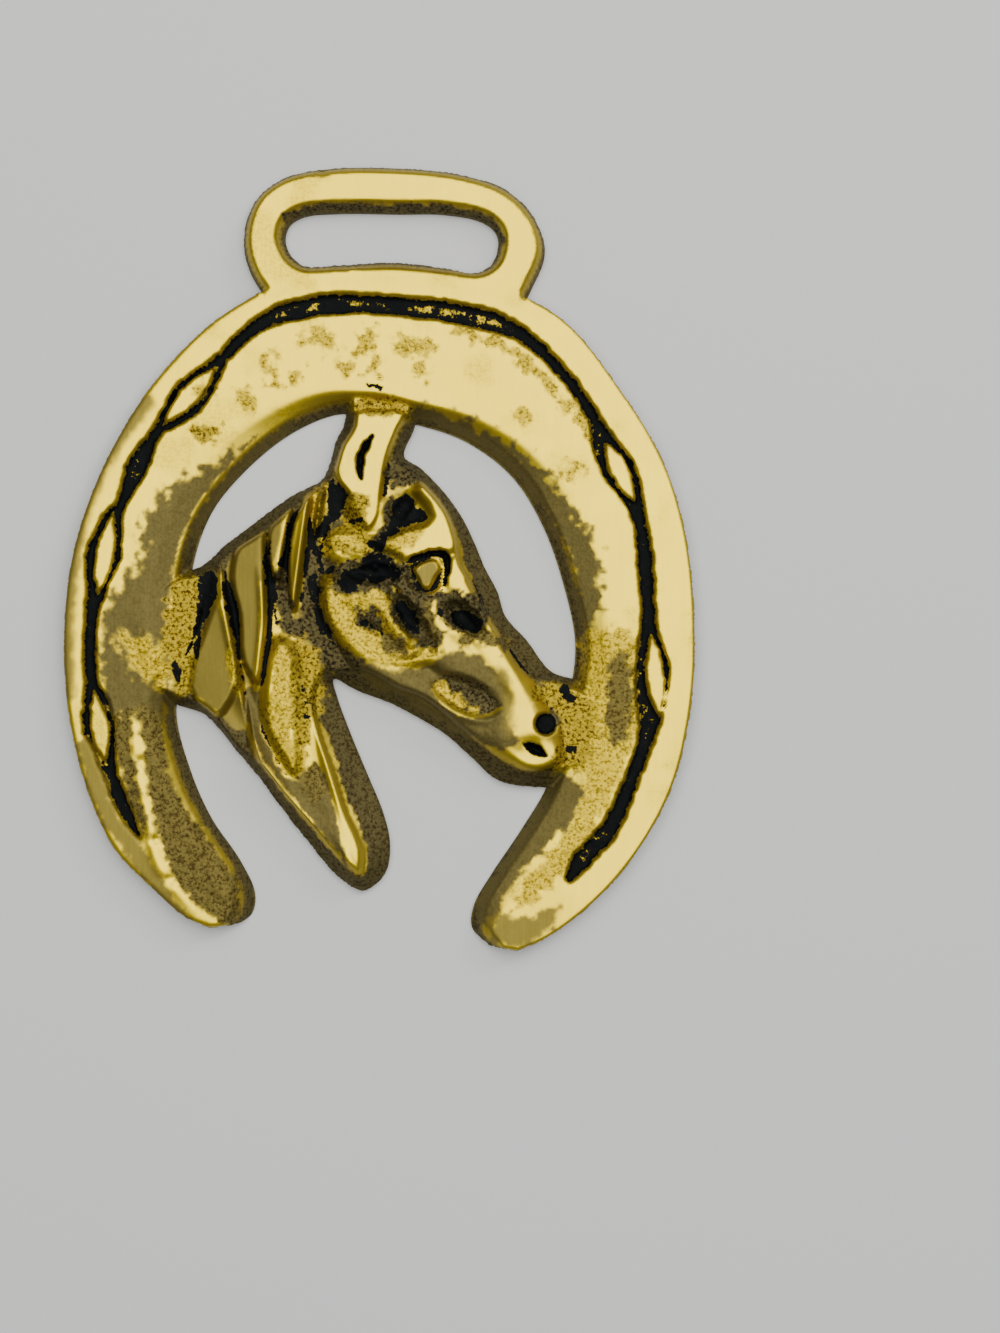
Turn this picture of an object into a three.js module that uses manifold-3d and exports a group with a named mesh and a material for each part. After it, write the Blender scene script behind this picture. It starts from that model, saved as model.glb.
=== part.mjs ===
// A cast horse brass: a horseshoe with a strap loop at its toe and a horse's head in profile
// inside it. One piece of brass, lying on its flat back. Millimetres, +Z up, +Y towards the loop.

import * as THREE from 'three';
import { mergeVertices } from 'three/addons/utils/BufferGeometryUtils.js';
import Module from 'manifold-3d';

const wasm = await Module();
wasm.setup();

// ---------------------------------------------------------------- driving dimensions

const width = 68;            // across the shoe
const length = 84;           // from the heels to the top of the loop

const faceZ = 3.0;           // polished face of the shoe
const loopZ = 2.8;           // polished face of the loop
const innerEdgeZ = 2.1;      // inner front edge of the shoe, below its bevel
const shoulderZ = 2.3;       // where the outer rim rounds over into the wall
const wallZ = 0.8;           // top of the upright foot of the outer wall
const innerFlare = 1.4;      // how far the sloping inner wall runs out towards the back
const rimRound = 0.8;        // width of the rounding along the outer rim
const loopFlare = 0.7;       // the same for the loop's outer wall
const slotFlare = 0.8;       // and for the slot's wall

const grooveFloorZ = 2.0;    // floor of the fullering groove
const aboveZ = 9;            // clear above every face, for the cutters

const skirtZ = 0.9;          // upright foot of the head's wall
const headEdgeZ = 2.5;       // front edge of the head, at the top of its sloping wall
const groundZ = 4.8;         // height the head's relief was ground down to
const cutTopZ = 4.4;         // height at which a cut has its stated width
const grooveDraft = 0.25;    // how far each side of the groove leans in down to its floor

const rootZ = 1.2;           // the raised forms start this deep inside the head
const earRound = 0.5;        // chamfer round the flat of the ear

// How finely the curves are faceted.
const shoeSteps = 3;         // sections to each gap between the shoe's stations
const loopSteps = 3;
const headSteps = 2;
const grooveSteps = 2;
const cutSteps = 6;
const strokeSteps = 9;
const strokeSides = 6;
const weldGap = 1e-4;        // points closer than this are one, within a piece
const finestDetail = 0.02;   // and in the finished brass
const endShare = 0.02;       // share of the swell that a stroke or cut skips at each end
const fullness = 0.4;        // how blunt the ends are: 1 is a spindle, 0 a bar
const up = new THREE.Vector3(0, 0, 1);

// ---------------------------------------------------------------- outlines

// Stations along the shoe from the left heel over the toe to the right heel: the outermost
// point, the inner front edge, and the width of the bevel beside that edge.
const shoeStations = [
  { outer: [-17.0, -40.6], inner: [-15.6, -40.4], bevel: 0.3 },
  { outer: [-19.8, -39.5], inner: [-14.2, -39.2], bevel: 0.8 },
  { outer: [-23.8, -36.2], inner: [-13.9, -36.8], bevel: 1.2 },
  { outer: [-27.3, -32.9], inner: [-15.6, -33.4], bevel: 1.4 },
  { outer: [-29.8, -28.6], inner: [-19.0, -28.8], bevel: 1.4 },
  { outer: [-31.8, -23.4], inner: [-21.5, -23.6], bevel: 1.4 },
  { outer: [-33.2, -17.5], inner: [-23.2, -17.5], bevel: 1.4 },
  { outer: [-33.9, -10.0], inner: [-22.2, -11.0], bevel: 2.0 },
  { outer: [-33.5, -2.5], inner: [-22.1, -2.5], bevel: 3.0 },
  { outer: [-32.0, 4.0], inner: [-20.2, 4.0], bevel: 3.2 },
  { outer: [-29.2, 11.0], inner: [-16.4, 9.2], bevel: 3.0 },
  { outer: [-24.7, 18.4], inner: [-11.8, 13.4], bevel: 2.0 },
  { outer: [-17.6, 25.6], inner: [-7.0, 16.0], bevel: 1.2 },
  { outer: [-8.0, 30.0], inner: [-2.5, 16.6], bevel: 0.8 },
  { outer: [8.0, 30.0], inner: [3.5, 15.7], bevel: 0.8 },
  { outer: [17.9, 26.4], inner: [9.2, 13.9], bevel: 1.2 },
  { outer: [25.0, 18.6], inner: [14.6, 10.1], bevel: 2.0 },
  { outer: [29.9, 11.0], inner: [18.3, 4.7], bevel: 3.2 },
  { outer: [32.6, 3.0], inner: [20.9, -1.8], bevel: 3.4 },
  { outer: [33.9, -7.5], inner: [22.5, -8.5], bevel: 2.4 },
  { outer: [33.7, -15.5], inner: [21.9, -15.5], bevel: 2.4 },
  { outer: [32.2, -23.2], inner: [20.2, -23.6], bevel: 3.2 },
  { outer: [29.6, -29.0], inner: [17.5, -28.8], bevel: 3.6 },
  { outer: [26.0, -34.2], inner: [14.3, -34.0], bevel: 3.2 },
  { outer: [22.0, -38.2], inner: [12.6, -37.4], bevel: 2.0 },
  { outer: [18.8, -40.5], inner: [12.5, -39.8], bevel: 1.0 },
  { outer: [16.0, -41.8], inner: [14.4, -41.6], bevel: 0.3 },
];

// Stations round the strap loop: its outer front edge and the slot's front edge.
const loopStations = [
  { outer: [0.0, 27.5], inner: [0.0, 30.9] },
  { outer: [-7.0, 27.5], inner: [-6.5, 30.4] },
  { outer: [-12.5, 27.6], inner: [-10.0, 30.3] },
  { outer: [-14.4, 29.4], inner: [-11.8, 31.5] },
  { outer: [-15.7, 33.2], inner: [-12.7, 33.6] },
  { outer: [-14.7, 37.4], inner: [-12.2, 35.7] },
  { outer: [-12.0, 39.7], inner: [-10.4, 37.0] },
  { outer: [-7.0, 40.9], inner: [-6.5, 37.6] },
  { outer: [0.0, 41.2], inner: [0.0, 37.8] },
  { outer: [6.5, 40.8], inner: [5.5, 37.9] },
  { outer: [11.4, 39.4], inner: [9.8, 37.1] },
  { outer: [14.2, 36.9], inner: [11.5, 35.7] },
  { outer: [15.5, 33.6], inner: [11.9, 34.0] },
  { outer: [14.5, 30.3], inner: [11.2, 31.6] },
  { outer: [12.8, 27.6], inner: [9.4, 30.4] },
  { outer: [7.0, 27.5], inner: [5.5, 30.6] },
];

// Points round the head, clockwise from the ear's tip: the front edge of the relief and the
// edge of the sloping wall at the back. Where the head is cast on to the shoe they lie in it.
const headStations = [
  { front: [1.7, 18.0], back: [2.6, 18.0] },
  { front: [2.0, 14.8], back: [2.9, 14.4] },
  { front: [0.7, 10.6], back: [1.8, 10.9] },
  { front: [2.4, 9.3], back: [3.6, 9.7] },
  { front: [4.5, 7.5], back: [6.0, 7.5] },
  { front: [6.8, 4.8], back: [8.3, 4.6] },
  { front: [7.9, 2.0], back: [9.9, 1.6] },
  { front: [8.5, -0.5], back: [11.0, -0.8] },
  { front: [9.9, -2.8], back: [12.5, -3.4] },
  { front: [11.3, -5.5], back: [13.4, -5.9] },
  { front: [13.5, -8.7], back: [15.8, -8.4] },
  { front: [16.0, -12.0], back: [18.6, -11.7] },
  { front: [20.4, -13.4], back: [21.6, -12.6] },
  { front: [24.2, -15.4], back: [24.9, -14.6] },
  { front: [24.0, -18.8], back: [24.9, -19.0] },
  { front: [21.6, -21.4], back: [22.2, -22.6] },
  { front: [19.5, -21.9], back: [19.6, -24.0] },
  { front: [17.0, -22.6], back: [16.6, -24.2] },
  { front: [14.0, -22.0], back: [13.2, -23.6] },
  { front: [11.5, -20.0], back: [10.6, -21.5] },
  { front: [8.5, -17.6], back: [7.4, -18.9] },
  { front: [5.0, -15.1], back: [3.8, -16.9] },
  { front: [2.0, -14.0], back: [1.4, -15.8] },
  { front: [-1.5, -12.4], back: [-2.2, -14.6] },
  { front: [-5.8, -12.6], back: [-4.9, -13.4] },
  { front: [-6.7, -15.6], back: [-4.4, -15.4] },
  { front: [-6.0, -19.0], back: [-3.1, -18.6] },
  { front: [-4.4, -23.0], back: [-1.0, -23.2] },
  { front: [-2.7, -27.6], back: [1.1, -27.8] },
  { front: [-1.0, -31.0], back: [1.9, -31.0] },
  { front: [-0.2, -33.4], back: [1.5, -34.2] },
  { front: [-1.2, -34.7], back: [-0.8, -36.1] },
  { front: [-3.2, -32.9], back: [-3.4, -34.8] },
  { front: [-6.1, -29.6], back: [-6.8, -31.2] },
  { front: [-9.0, -26.5], back: [-9.8, -27.7] },
  { front: [-11.9, -23.2], back: [-12.6, -24.2] },
  { front: [-14.5, -21.0], back: [-15.1, -21.5] },
  { front: [-18.1, -17.1], back: [-18.6, -17.8] },
  { front: [-20.7, -15.9], back: [-21.4, -16.9] },
  { front: [-24.6, -14.0], back: [-25.0, -14.8] },
  { front: [-24.8, -8.0], back: [-25.2, -8.0] },
  { front: [-22.6, -4.0], back: [-23.0, -3.4] },
  { front: [-18.7, -2.6], back: [-19.3, -1.6] },
  { front: [-16.6, -0.5], back: [-17.3, 0.4] },
  { front: [-12.7, 2.2], back: [-13.2, 3.8] },
  { front: [-9.5, 5.1], back: [-9.9, 6.3] },
  { front: [-6.6, 7.2], back: [-7.0, 8.0] },
  { front: [-5.4, 9.4], back: [-6.2, 9.7] },
  { front: [-4.8, 11.5], back: [-5.7, 11.9] },
  { front: [-3.6, 13.8], back: [-4.7, 14.4] },
  { front: [-3.4, 18.0], back: [-4.4, 18.0] },
];

// ---------------------------------------------------------------- carving

// The fullering groove, as points along its middle with its width there: from the crown of
// the shoe down to each heel. It swells where a nail head stands in it.
const rightGroove = [
  [0, 26.8, 2.4], [5.5, 26.4, 2.6], [10.5, 25.6, 2.6], [14, 24.2, 1.9], [18.7, 20.1, 1.6],
  [22.2, 15.4, 1.7], [23.3, 12.9, 3.0], [25, 10, 3.8], [26.4, 7.6, 2.8], [27.5, 4.6, 1.8],
  [28.2, 0.4, 2.0], [28.8, -6, 1.9], [29.0, -8.4, 3.0], [29.4, -11.2, 4.0], [29.3, -14.6, 3.4],
  [29.3, -17, 2.6], [28.6, -20, 1.8], [27.2, -24, 2.0], [25.6, -28, 2.3], [22.5, -31.9, 2.4],
  [21.4, -33.7, 1.4],
];
const leftGroove = [
  [0, 26.8, 2.4], [-5, 26.8, 2.5], [-10, 26, 2.6], [-14, 24.4, 2.0], [-17.8, 20.7, 1.6],
  [-19.2, 18.9, 2.6], [-21.3, 16.2, 4.0], [-23.4, 13.8, 2.6], [-24.9, 12.1, 1.5],
  [-26.6, 8.6, 2.6], [-28.2, 4.6, 1.5], [-29.2, 2.4, 2.6], [-29.9, -1, 4.0], [-30.5, -4.2, 2.6],
  [-31, -9, 1.6], [-30.7, -14.8, 1.8], [-30.1, -16.8, 3.0], [-29.7, -19.4, 3.8],
  [-29, -22, 2.8], [-28.1, -25, 1.8], [-26.4, -28.6, 1.9], [-24.5, -31.8, 0.3],
];

// Nail heads left standing in the groove: the two ends of each, and its width.
const nailHeads = [
  { from: [23.6, 12.7], to: [26.6, 7.2], wide: 1.7 },
  { from: [29.2, -7.8], to: [30.3, -15.6], wide: 1.6 },
  { from: [-18.9, 19.2], to: [-23.7, 13.5], wide: 1.8 },
  { from: [-29.2, 3.0], to: [-30.3, -4.9], wide: 1.7 },
  { from: [-30.3, -16.2], to: [-28.9, -22.9], wide: 1.6 },
];

// Raised forms of the head. Each is a stroke along a path, with its widths to the left and the
// right of the path, its height at the start and the end, and a rounded or a ridged section.
const strokes = [
  // the neck: its swelling, the ridge under the throat and the ridge down to the chest
  {
    path: [[-11.5, -3], [-9.5, -13], [-6.4, -23.5], [-2, -33.5]],
    left: 5, right: 4.6, from: 3.8, to: 3.2,
  },
  {
    path: [[-7.4, -11.5], [-5.9, -19], [-3.4, -26], [-0.7, -34]],
    left: 1.4, right: 3.2, from: 3.7, to: 3.4, ridged: true,
  },
  {
    path: [[-13.8, -16], [-12, -22.4], [-7.2, -28], [-1.6, -34.4]],
    left: 3.4, right: 1.4, from: 4.4, to: 3.4, ridged: true,
  },
  // the mane's locks, from the forelock to the withers
  {
    path: [[-6.5, 7.6], [-7, 4.4], [-7.2, 1]],
    left: 0.9, right: 0.9, from: 4, to: 3.8, ridged: true,
  },
  {
    path: [[-7.8, 7.4], [-8.6, 2], [-8.9, -2], [-9.3, -7.4]],
    left: 1, right: 1.3, from: 4.5, to: 4.1, ridged: true,
  },
  {
    path: [[-10, 6], [-10.8, 1], [-11.8, -4]],
    left: 1.1, right: 1.4, from: 4.4, to: 4.1, ridged: true,
  },
  {
    path: [[-13, 4], [-12.7, -3], [-12.3, -9], [-13, -17]],
    left: 1.4, right: 3.6, from: 4.7, to: 3.9, ridged: true,
  },
  {
    path: [[-17.4, -1], [-16.4, -7.5], [-15.2, -12.5], [-13.8, -19.4]],
    left: 1.3, right: 4.8, from: 4.3, to: 3.6, ridged: true,
  },
  // the face: its whole length, the jaw, the cheekbone, the nose bone and the brow
  {
    path: [[0.5, 9.5], [2.4, 2], [7.2, -8], [14.6, -17.4]],
    left: 5.6, right: 6.4, from: 4.2, to: 4.2,
  },
  {
    path: [[-5.2, -6], [-1.6, -11], [6, -14.8], [12.4, -19], [17.6, -21.8]],
    left: 3, right: 2, from: 4.3, to: 3.9,
  },
  {
    path: [[3.4, -8], [8.4, -11.2], [14.6, -17]],
    left: 3, right: 2.6, from: 4.9, to: 4.6,
  },
  {
    path: [[6.6, 1.4], [8.8, -3.4], [11.6, -8.4], [16, -15.6]],
    left: 1.6, right: 2.6, from: 4.8, to: 4.5,
  },
  {
    path: [[2.6, 9.2], [5.4, 6], [7, 2.4], [8.2, -1]],
    left: 1.6, right: 3, from: 4.3, to: 4.8,
  },
  // the upper eyelid and the bone behind the eye
  {
    path: [[1.8, -0.8], [3.4, 0.7], [6.2, 0.8], [7.6, -2]],
    left: 0.9, right: 0.9, from: 5.3, to: 5.1,
  },
  {
    path: [[-5.8, 1.4], [-2, 1], [2.6, 1.6]],
    left: 1.2, right: 1.4, from: 4.4, to: 4.9,
  },
];

// The flat polished ear, from its tip on the shoe to its root.
const earOutline = [
  [-3.4, 15.2], [-4.9, 11.5], [-5.4, 9.3], [-5.1, 7.8], [-3.8, 6.2], [-3, 4.4], [-1.6, 2.6],
  [-0.5, 3.8], [-0.1, 7.4], [0.3, 10.4], [1.3, 13.4], [2, 15.2],
];
const earZ = 4.2;

// Rounded masses: centre, half sizes along and across, turn in degrees, and height.
const masses = [
  { at: [-0.4, -5.6], along: 6.6, across: 5.6, turn: 118, top: 5.3 },   // jowl
  { at: [15.6, -18.2], along: 5, across: 3.9, turn: -36, top: 4.6 },    // muzzle
  { at: [17.2, -20.9], along: 2.5, across: 1.7, turn: 10, top: 3.9 },   // lower lip
];

// Cuts made with a pointed tool: a path, the width at the height of the relief, and how low the
// point runs.
const cuts = {
  behindEar: { path: [[-5.4, 7.4], [-6.1, 3], [-6.9, -1.5], [-6.6, -7.6]], wide: 1.3, pointZ: 2.3 },
  firstParting: { path: [[-9.5, 5.0], [-9.9, 2], [-10.2, -3.2]], wide: 0.7, pointZ: 3.0 },
  secondParting: {
    path: [[-12.0, 2.4], [-12.2, -2], [-11.5, -6], [-10.2, -9]],
    wide: 0.9, pointZ: 2.8,
  },
  lastParting: {
    path: [[-17.2, -2.4], [-16.2, -5.6], [-15.3, -8.8], [-15, -12.4]],
    wide: 0.9, pointZ: 2.6,
  },
  maneHollow: {
    path: [[-18.6, -1.4], [-19.2, -6], [-20.1, -10], [-21.6, -13.6]],
    wide: 1.5, pointZ: 2.0,
  },
  earSlit: { path: [[-1.5, 12.7], [-2.7, 10.4], [-2.5, 7.8]], wide: 1.0, pointZ: 2.9 },
  browHollow: { path: [[1.2, 7.4], [1.6, 4.6], [4.4, 3.6]], wide: 1.8, pointZ: 3.1 },
  behindEye: { path: [[-4.4, -1.5], [-1.3, -1.8], [2.0, -2.0]], wide: 1.9, pointZ: 3.2 },
  underEye: { path: [[1.2, -3.4], [3.2, -6.6], [6.0, -9.8]], wide: 1.5, pointZ: 3.4 },
  besideNose: { path: [[7.0, -4.9], [8.8, -6.2], [10.8, -8.0]], wide: 1.9, pointZ: 3.1 },
  mouth: { path: [[15.8, -19.5], [17.2, -20.1], [18.5, -20.8]], wide: 1.3, pointZ: 2.8 },
};
// The long shallow dish beside the muzzle.
const dish = { at: [9.5, -14.6], along: 3.7, across: 1.7, turn: -22, floorZ: 3.3 };
const nostril = { at: [18.2, -17.3], radius: 1.2, floorZ: 2.6 };
const eyeball = { at: [4.8, -1.8], radius: 1.6, top: 4.7 };
const eyeSocket = { at: [4.8, -1.9], radius: 2.3, floorZ: 3.7 };

// ---------------------------------------------------------------- solids

function toManifold(geometry) {
  geometry.deleteAttribute('normal');
  geometry.deleteAttribute('uv');
  const merged = mergeVertices(geometry, weldGap);
  return new wasm.Manifold(new wasm.Mesh({
    numProp: 3,
    vertProperties: new Float32Array(merged.attributes.position.array),
    triVerts: new Uint32Array(merged.index.array),
  }));
}

function toGeometry(solid) {
  const mesh = solid.getMesh();
  const geometry = new THREE.BufferGeometry();
  geometry.setAttribute('position', new THREE.BufferAttribute(mesh.vertProperties, 3));
  geometry.setIndex(new THREE.BufferAttribute(mesh.triVerts, 1));
  return geometry;
}

function solidOf(positions, index) {
  const geometry = new THREE.BufferGeometry();
  geometry.setAttribute('position', new THREE.Float32BufferAttribute(positions.flat(), 3));
  geometry.setIndex(index);
  return toManifold(geometry);
}

// A solid through rings of points, all of the same count and each running counter-clockwise as
// seen from the rings ahead of it. A hoop joins its last ring to its first; any other loft
// closes its first end with the triangles of `cap` and its last with those of `lastCap`.
function loft(rings, cap, lastCap = cap) {
  const count = rings[0].length;
  const isHoop = !cap;
  const spans = isHoop ? rings.length : rings.length - 1;
  const index = [];
  for (let i = 0; i < spans; i++) {
    const here = i * count;
    const next = ((i + 1) % rings.length) * count;
    for (let j = 0; j < count; j++) {
      const k = (j + 1) % count;
      index.push(here + j, here + k, next + k, here + j, next + k, next + j);
    }
  }
  if (!isHoop) {
    const last = (rings.length - 1) * count;
    for (const [i, j, k] of cap) index.push(k, j, i);
    for (const [i, j, k] of lastCap) index.push(last + i, last + j, last + k);
  }
  return solidOf(rings.flat(), index);
}

// The triangles that close a convex ring of so many points.
function fanOf(count) {
  return Array.from({ length: count - 2 }, (_, i) => [0, i + 1, i + 2]);
}

function curve(points, closed = false) {
  const vectors = points.map(([x, y, z = 0]) => new THREE.Vector3(x, y, z));
  return new THREE.CatmullRomCurve3(vectors, closed, 'centripetal');
}

// Matching points of two edges of a band, `steps` to each gap between stations.
function pairsAlong(stations, firstKey, secondKey, steps, closed) {
  const first = curve(stations.map((s) => s[firstKey]), closed);
  const second = curve(stations.map((s) => s[secondKey]), closed);
  const gaps = closed ? stations.length : stations.length - 1;
  const count = gaps * steps + (closed ? 0 : 1);
  return Array.from({ length: count }, (_, i) => {
    const t = i / (gaps * steps);
    return { t, a: first.getPoint(t), b: second.getPoint(t) };
  });
}

function towards(from, to, distance) {
  return from.clone().add(to.clone().sub(from).setLength(distance));
}

// The section of the shoe at one station, from its outer foot round to its inner foot.
function shoeSection({ a: outer, b: inner, bevel }) {
  const across = outer.distanceTo(inner);
  const rim = Math.min(rimRound, across / 5);
  const foot = towards(inner, outer, -innerFlare);
  const bevelTop = towards(inner, outer, Math.min(bevel, across / 3));
  const rimTop = towards(outer, inner, rim);
  const shoulder = towards(outer, inner, rim / 4);
  return [
    [outer.x, outer.y, 0],
    [outer.x, outer.y, wallZ],
    [shoulder.x, shoulder.y, shoulderZ],
    [rimTop.x, rimTop.y, faceZ],
    [bevelTop.x, bevelTop.y, faceZ],
    [inner.x, inner.y, innerEdgeZ],
    [foot.x, foot.y, 0],
  ];
}

function makeShoe() {
  const bevels = curve(shoeStations.map((s, i) => [i, s.bevel]));
  const stations = pairsAlong(shoeStations, 'outer', 'inner', shoeSteps, false);
  const rings = stations.map((s) => shoeSection({ ...s, bevel: bevels.getPoint(s.t).y }));
  return loft(rings, fanOf(rings[0].length));
}

// The section of the strap loop, from its outer foot round to the slot's foot.
function loopSection({ a: outer, b: slot }) {
  const slotFoot = towards(slot, outer, -slotFlare);
  const outerFoot = towards(outer, slot, -loopFlare);
  return [
    [outerFoot.x, outerFoot.y, 0],
    [outerFoot.x, outerFoot.y, wallZ],
    [outer.x, outer.y, loopZ],
    [slot.x, slot.y, loopZ],
    [slotFoot.x, slotFoot.y, wallZ],
    [slotFoot.x, slotFoot.y, 0],
  ];
}

function makeLoop() {
  return loft(pairsAlong(loopStations, 'outer', 'inner', loopSteps, true).map(loopSection));
}

// ---------------------------------------------------------------- the head

// A raised form: it swells up out of the head at both ends of its path.
function makeStroke({ path, left, right, from, to, ridged = false }) {
  const line = curve(path);
  const sides = ridged ? 2 : strokeSides;
  const rings = [];
  for (let i = 0; i <= strokeSteps; i++) {
    const t = (1 - Math.cos((Math.PI * i) / strokeSteps)) / 2;
    const swell = Math.sin(Math.PI * THREE.MathUtils.lerp(endShare, 1 - endShare, t)) ** fullness;
    const rise = (THREE.MathUtils.lerp(from, to, t) - rootZ) * swell;
    const p = line.getPoint(t);
    const toRight = line.getTangent(t).cross(up).setLength(1);
    const ring = [];
    for (let j = 0; j <= sides; j++) {
      const turn = Math.PI * (1 - j / sides);
      const reach = Math.cos(turn) * (turn > Math.PI / 2 ? left : right) * swell;
      const lift = Math.sin(turn) * rise;
      ring.push([p.x + toRight.x * reach, p.y + toRight.y * reach, rootZ + lift]);
    }
    rings.push(ring);
  }
  return loft(rings, fanOf(sides + 1));
}

function makeMass({ at, along, across, turn, top }) {
  const ball = new THREE.SphereGeometry(1, 18, 10).rotateX(Math.PI / 2);
  ball.scale(along, across, top - rootZ).rotateZ(THREE.MathUtils.degToRad(turn));
  return toManifold(ball.translate(at[0], at[1], rootZ));
}

function makeEar() {
  const outline = new THREE.Shape(curve(earOutline, true).getPoints(earOutline.length * 2));
  const ear = new THREE.ExtrudeGeometry(outline, {
    depth: earZ - rootZ - earRound,
    bevelThickness: earRound,
    bevelSize: earRound,
    bevelOffset: -earRound,
    bevelSegments: 1,
  });
  return toManifold(ear.translate(0, 0, rootZ));
}

// The head: a plate with a sloping wall, and the raised forms cut off at the plate's edge and
// ground flat on top.
function makeHead() {
  const edges = pairsAlong(headStations, 'front', 'back', headSteps, true).reverse();
  const ringAt = (key, z) => edges.map((pair) => [pair[key].x, pair[key].y, z]);
  const feet = [ringAt('b', 0), ringAt('b', skirtZ)];
  const outline = edges.map((pair) => new THREE.Vector2(pair.b.x, pair.b.y));
  const cap = THREE.ShapeUtils.triangulateShape(outline, []);
  const edge = edges.map((pair) => new THREE.Vector2(pair.a.x, pair.a.y));
  const topCap = THREE.ShapeUtils.triangulateShape(edge, []);
  const plate = loft([...feet, ringAt('a', headEdgeZ)], cap, topCap);
  const limit = loft([...feet, ringAt('a', headEdgeZ), ringAt('a', groundZ)], cap, topCap);
  const raised = [...strokes.map(makeStroke), ...masses.map(makeMass), makeEar()];
  return wasm.Manifold.union(raised).intersect(limit).add(plate);
}

// ---------------------------------------------------------------- cutters

// A V-shaped cutter: its point runs at pointZ under the path and rises out at both ends.
function makeCut({ path, wide, pointZ }) {
  const line = curve(path);
  const rings = [];
  for (let i = 0; i <= cutSteps; i++) {
    const t = (1 - Math.cos((Math.PI * i) / cutSteps)) / 2;
    const swell = Math.sin(Math.PI * THREE.MathUtils.lerp(endShare, 1 - endShare, t)) ** fullness;
    const p = line.getPoint(t);
    const side = line.getTangent(t).cross(up).setLength(1);
    const tip = THREE.MathUtils.lerp(cutTopZ, pointZ, swell);
    const half = (wide / 2) * swell;
    // The sides keep their slope up to a height clear above the relief.
    const reach = half * ((aboveZ - tip) / (cutTopZ - pointZ));
    rings.push([
      [p.x, p.y, tip],
      [p.x - side.x * reach, p.y - side.y * reach, aboveZ],
      [p.x + side.x * reach, p.y + side.y * reach, aboveZ],
    ]);
  }
  return loft(rings, fanOf(3));
}

function makePlug(at, radius, fromZ, toZ) {
  const plug = new THREE.CylinderGeometry(radius, radius * 0.8, toZ - fromZ, 16);
  plug.rotateX(Math.PI / 2).translate(at[0], at[1], (fromZ + toZ) / 2);
  return toManifold(plug);
}

function makeDish({ at, along, across, turn, floorZ }) {
  const bowl = new THREE.SphereGeometry(1, 16, 8).rotateX(Math.PI / 2);
  bowl.scale(along, across, cutTopZ - floorZ).rotateZ(THREE.MathUtils.degToRad(turn));
  return toManifold(bowl.translate(at[0], at[1], cutTopZ));
}

function makeBall(at, radius, top) {
  const ball = new THREE.IcosahedronGeometry(radius, 1);
  return toManifold(ball.translate(at[0], at[1], top - radius));
}

// The groove's cutter: a channel along its middle line, its floor at grooveFloorZ.
function makeChannel(line) {
  const middle = curve(line.map(([x, y]) => [x, y]));
  const widths = curve(line.map(([, , wide], i) => [i, wide]));
  const steps = (line.length - 1) * grooveSteps;
  const rings = [];
  for (let i = 0; i <= steps; i++) {
    const t = i / steps;
    const p = middle.getPoint(t);
    const side = middle.getTangent(t).cross(up).setLength(1);
    const top = widths.getPoint(t).y / 2;
    const floor = Math.max(top - grooveDraft, top / 3);
    rings.push([
      [p.x - side.x * floor, p.y - side.y * floor, grooveFloorZ],
      [p.x - side.x * top, p.y - side.y * top, faceZ],
      [p.x - side.x * top, p.y - side.y * top, aboveZ],
      [p.x + side.x * top, p.y + side.y * top, aboveZ],
      [p.x + side.x * top, p.y + side.y * top, faceZ],
      [p.x + side.x * floor, p.y + side.y * floor, grooveFloorZ],
    ]);
  }
  return loft(rings, fanOf(6));
}

// A nail head: a pointed oval from one end to the other, upright, through the groove.
function makeNailHead({ from, to, wide }) {
  const start = new THREE.Vector2(...from);
  const end = new THREE.Vector2(...to);
  const middle = start.clone().add(end).divideScalar(2);
  const side = new THREE.Vector2(end.y - start.y, start.x - end.x).setLength(wide);
  const outline = new THREE.Shape().moveTo(start.x, start.y);
  outline.quadraticCurveTo(middle.x + side.x, middle.y + side.y, end.x, end.y);
  outline.quadraticCurveTo(middle.x - side.x, middle.y - side.y, start.x, start.y);
  const settings = { depth: aboveZ, bevelEnabled: false, curveSegments: 8 };
  return toManifold(new THREE.ExtrudeGeometry(outline, settings));
}

function makeGroove() {
  const nails = wasm.Manifold.union(nailHeads.map(makeNailHead));
  return makeChannel(leftGroove).add(makeChannel(rightGroove)).subtract(nails);
}

// ---------------------------------------------------------------- the brass

function makeBrass() {
  const shoe = makeShoe().add(makeLoop()).subtract(makeGroove());
  const socket = makePlug(eyeSocket.at, eyeSocket.radius, eyeSocket.floorZ, aboveZ);
  const head = makeHead()
    .subtract(wasm.Manifold.union(Object.values(cuts).map(makeCut)))
    .subtract(makePlug(nostril.at, nostril.radius, nostril.floorZ, aboveZ))
    .subtract(socket)
    .subtract(makeDish(dish))
    .add(makeBall(eyeball.at, eyeball.radius, eyeball.top));
  return shoe.add(head);
}

// Moves every point that lies within `gap` of an earlier one on to it, and drops the triangles
// that this closes up.
function weld(geometry, gap) {
  const place = geometry.attributes.position;
  const kept = [];
  const keptAs = [];
  for (let i = 0; i < place.count; i++) {
    const point = new THREE.Vector3().fromBufferAttribute(place, i);
    let same = kept.findIndex((other) => other.distanceToSquared(point) < gap * gap);
    if (same < 0) same = kept.push(point) - 1;
    keptAs.push(same);
  }
  const index = [];
  for (let i = 0; i < geometry.index.count; i += 3) {
    const corners = [0, 1, 2].map((j) => keptAs[geometry.index.getX(i + j)]);
    if (new Set(corners).size === 3) index.push(...corners);
  }
  return new THREE.BufferGeometry().setFromPoints(kept).setIndex(index);
}

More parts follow.
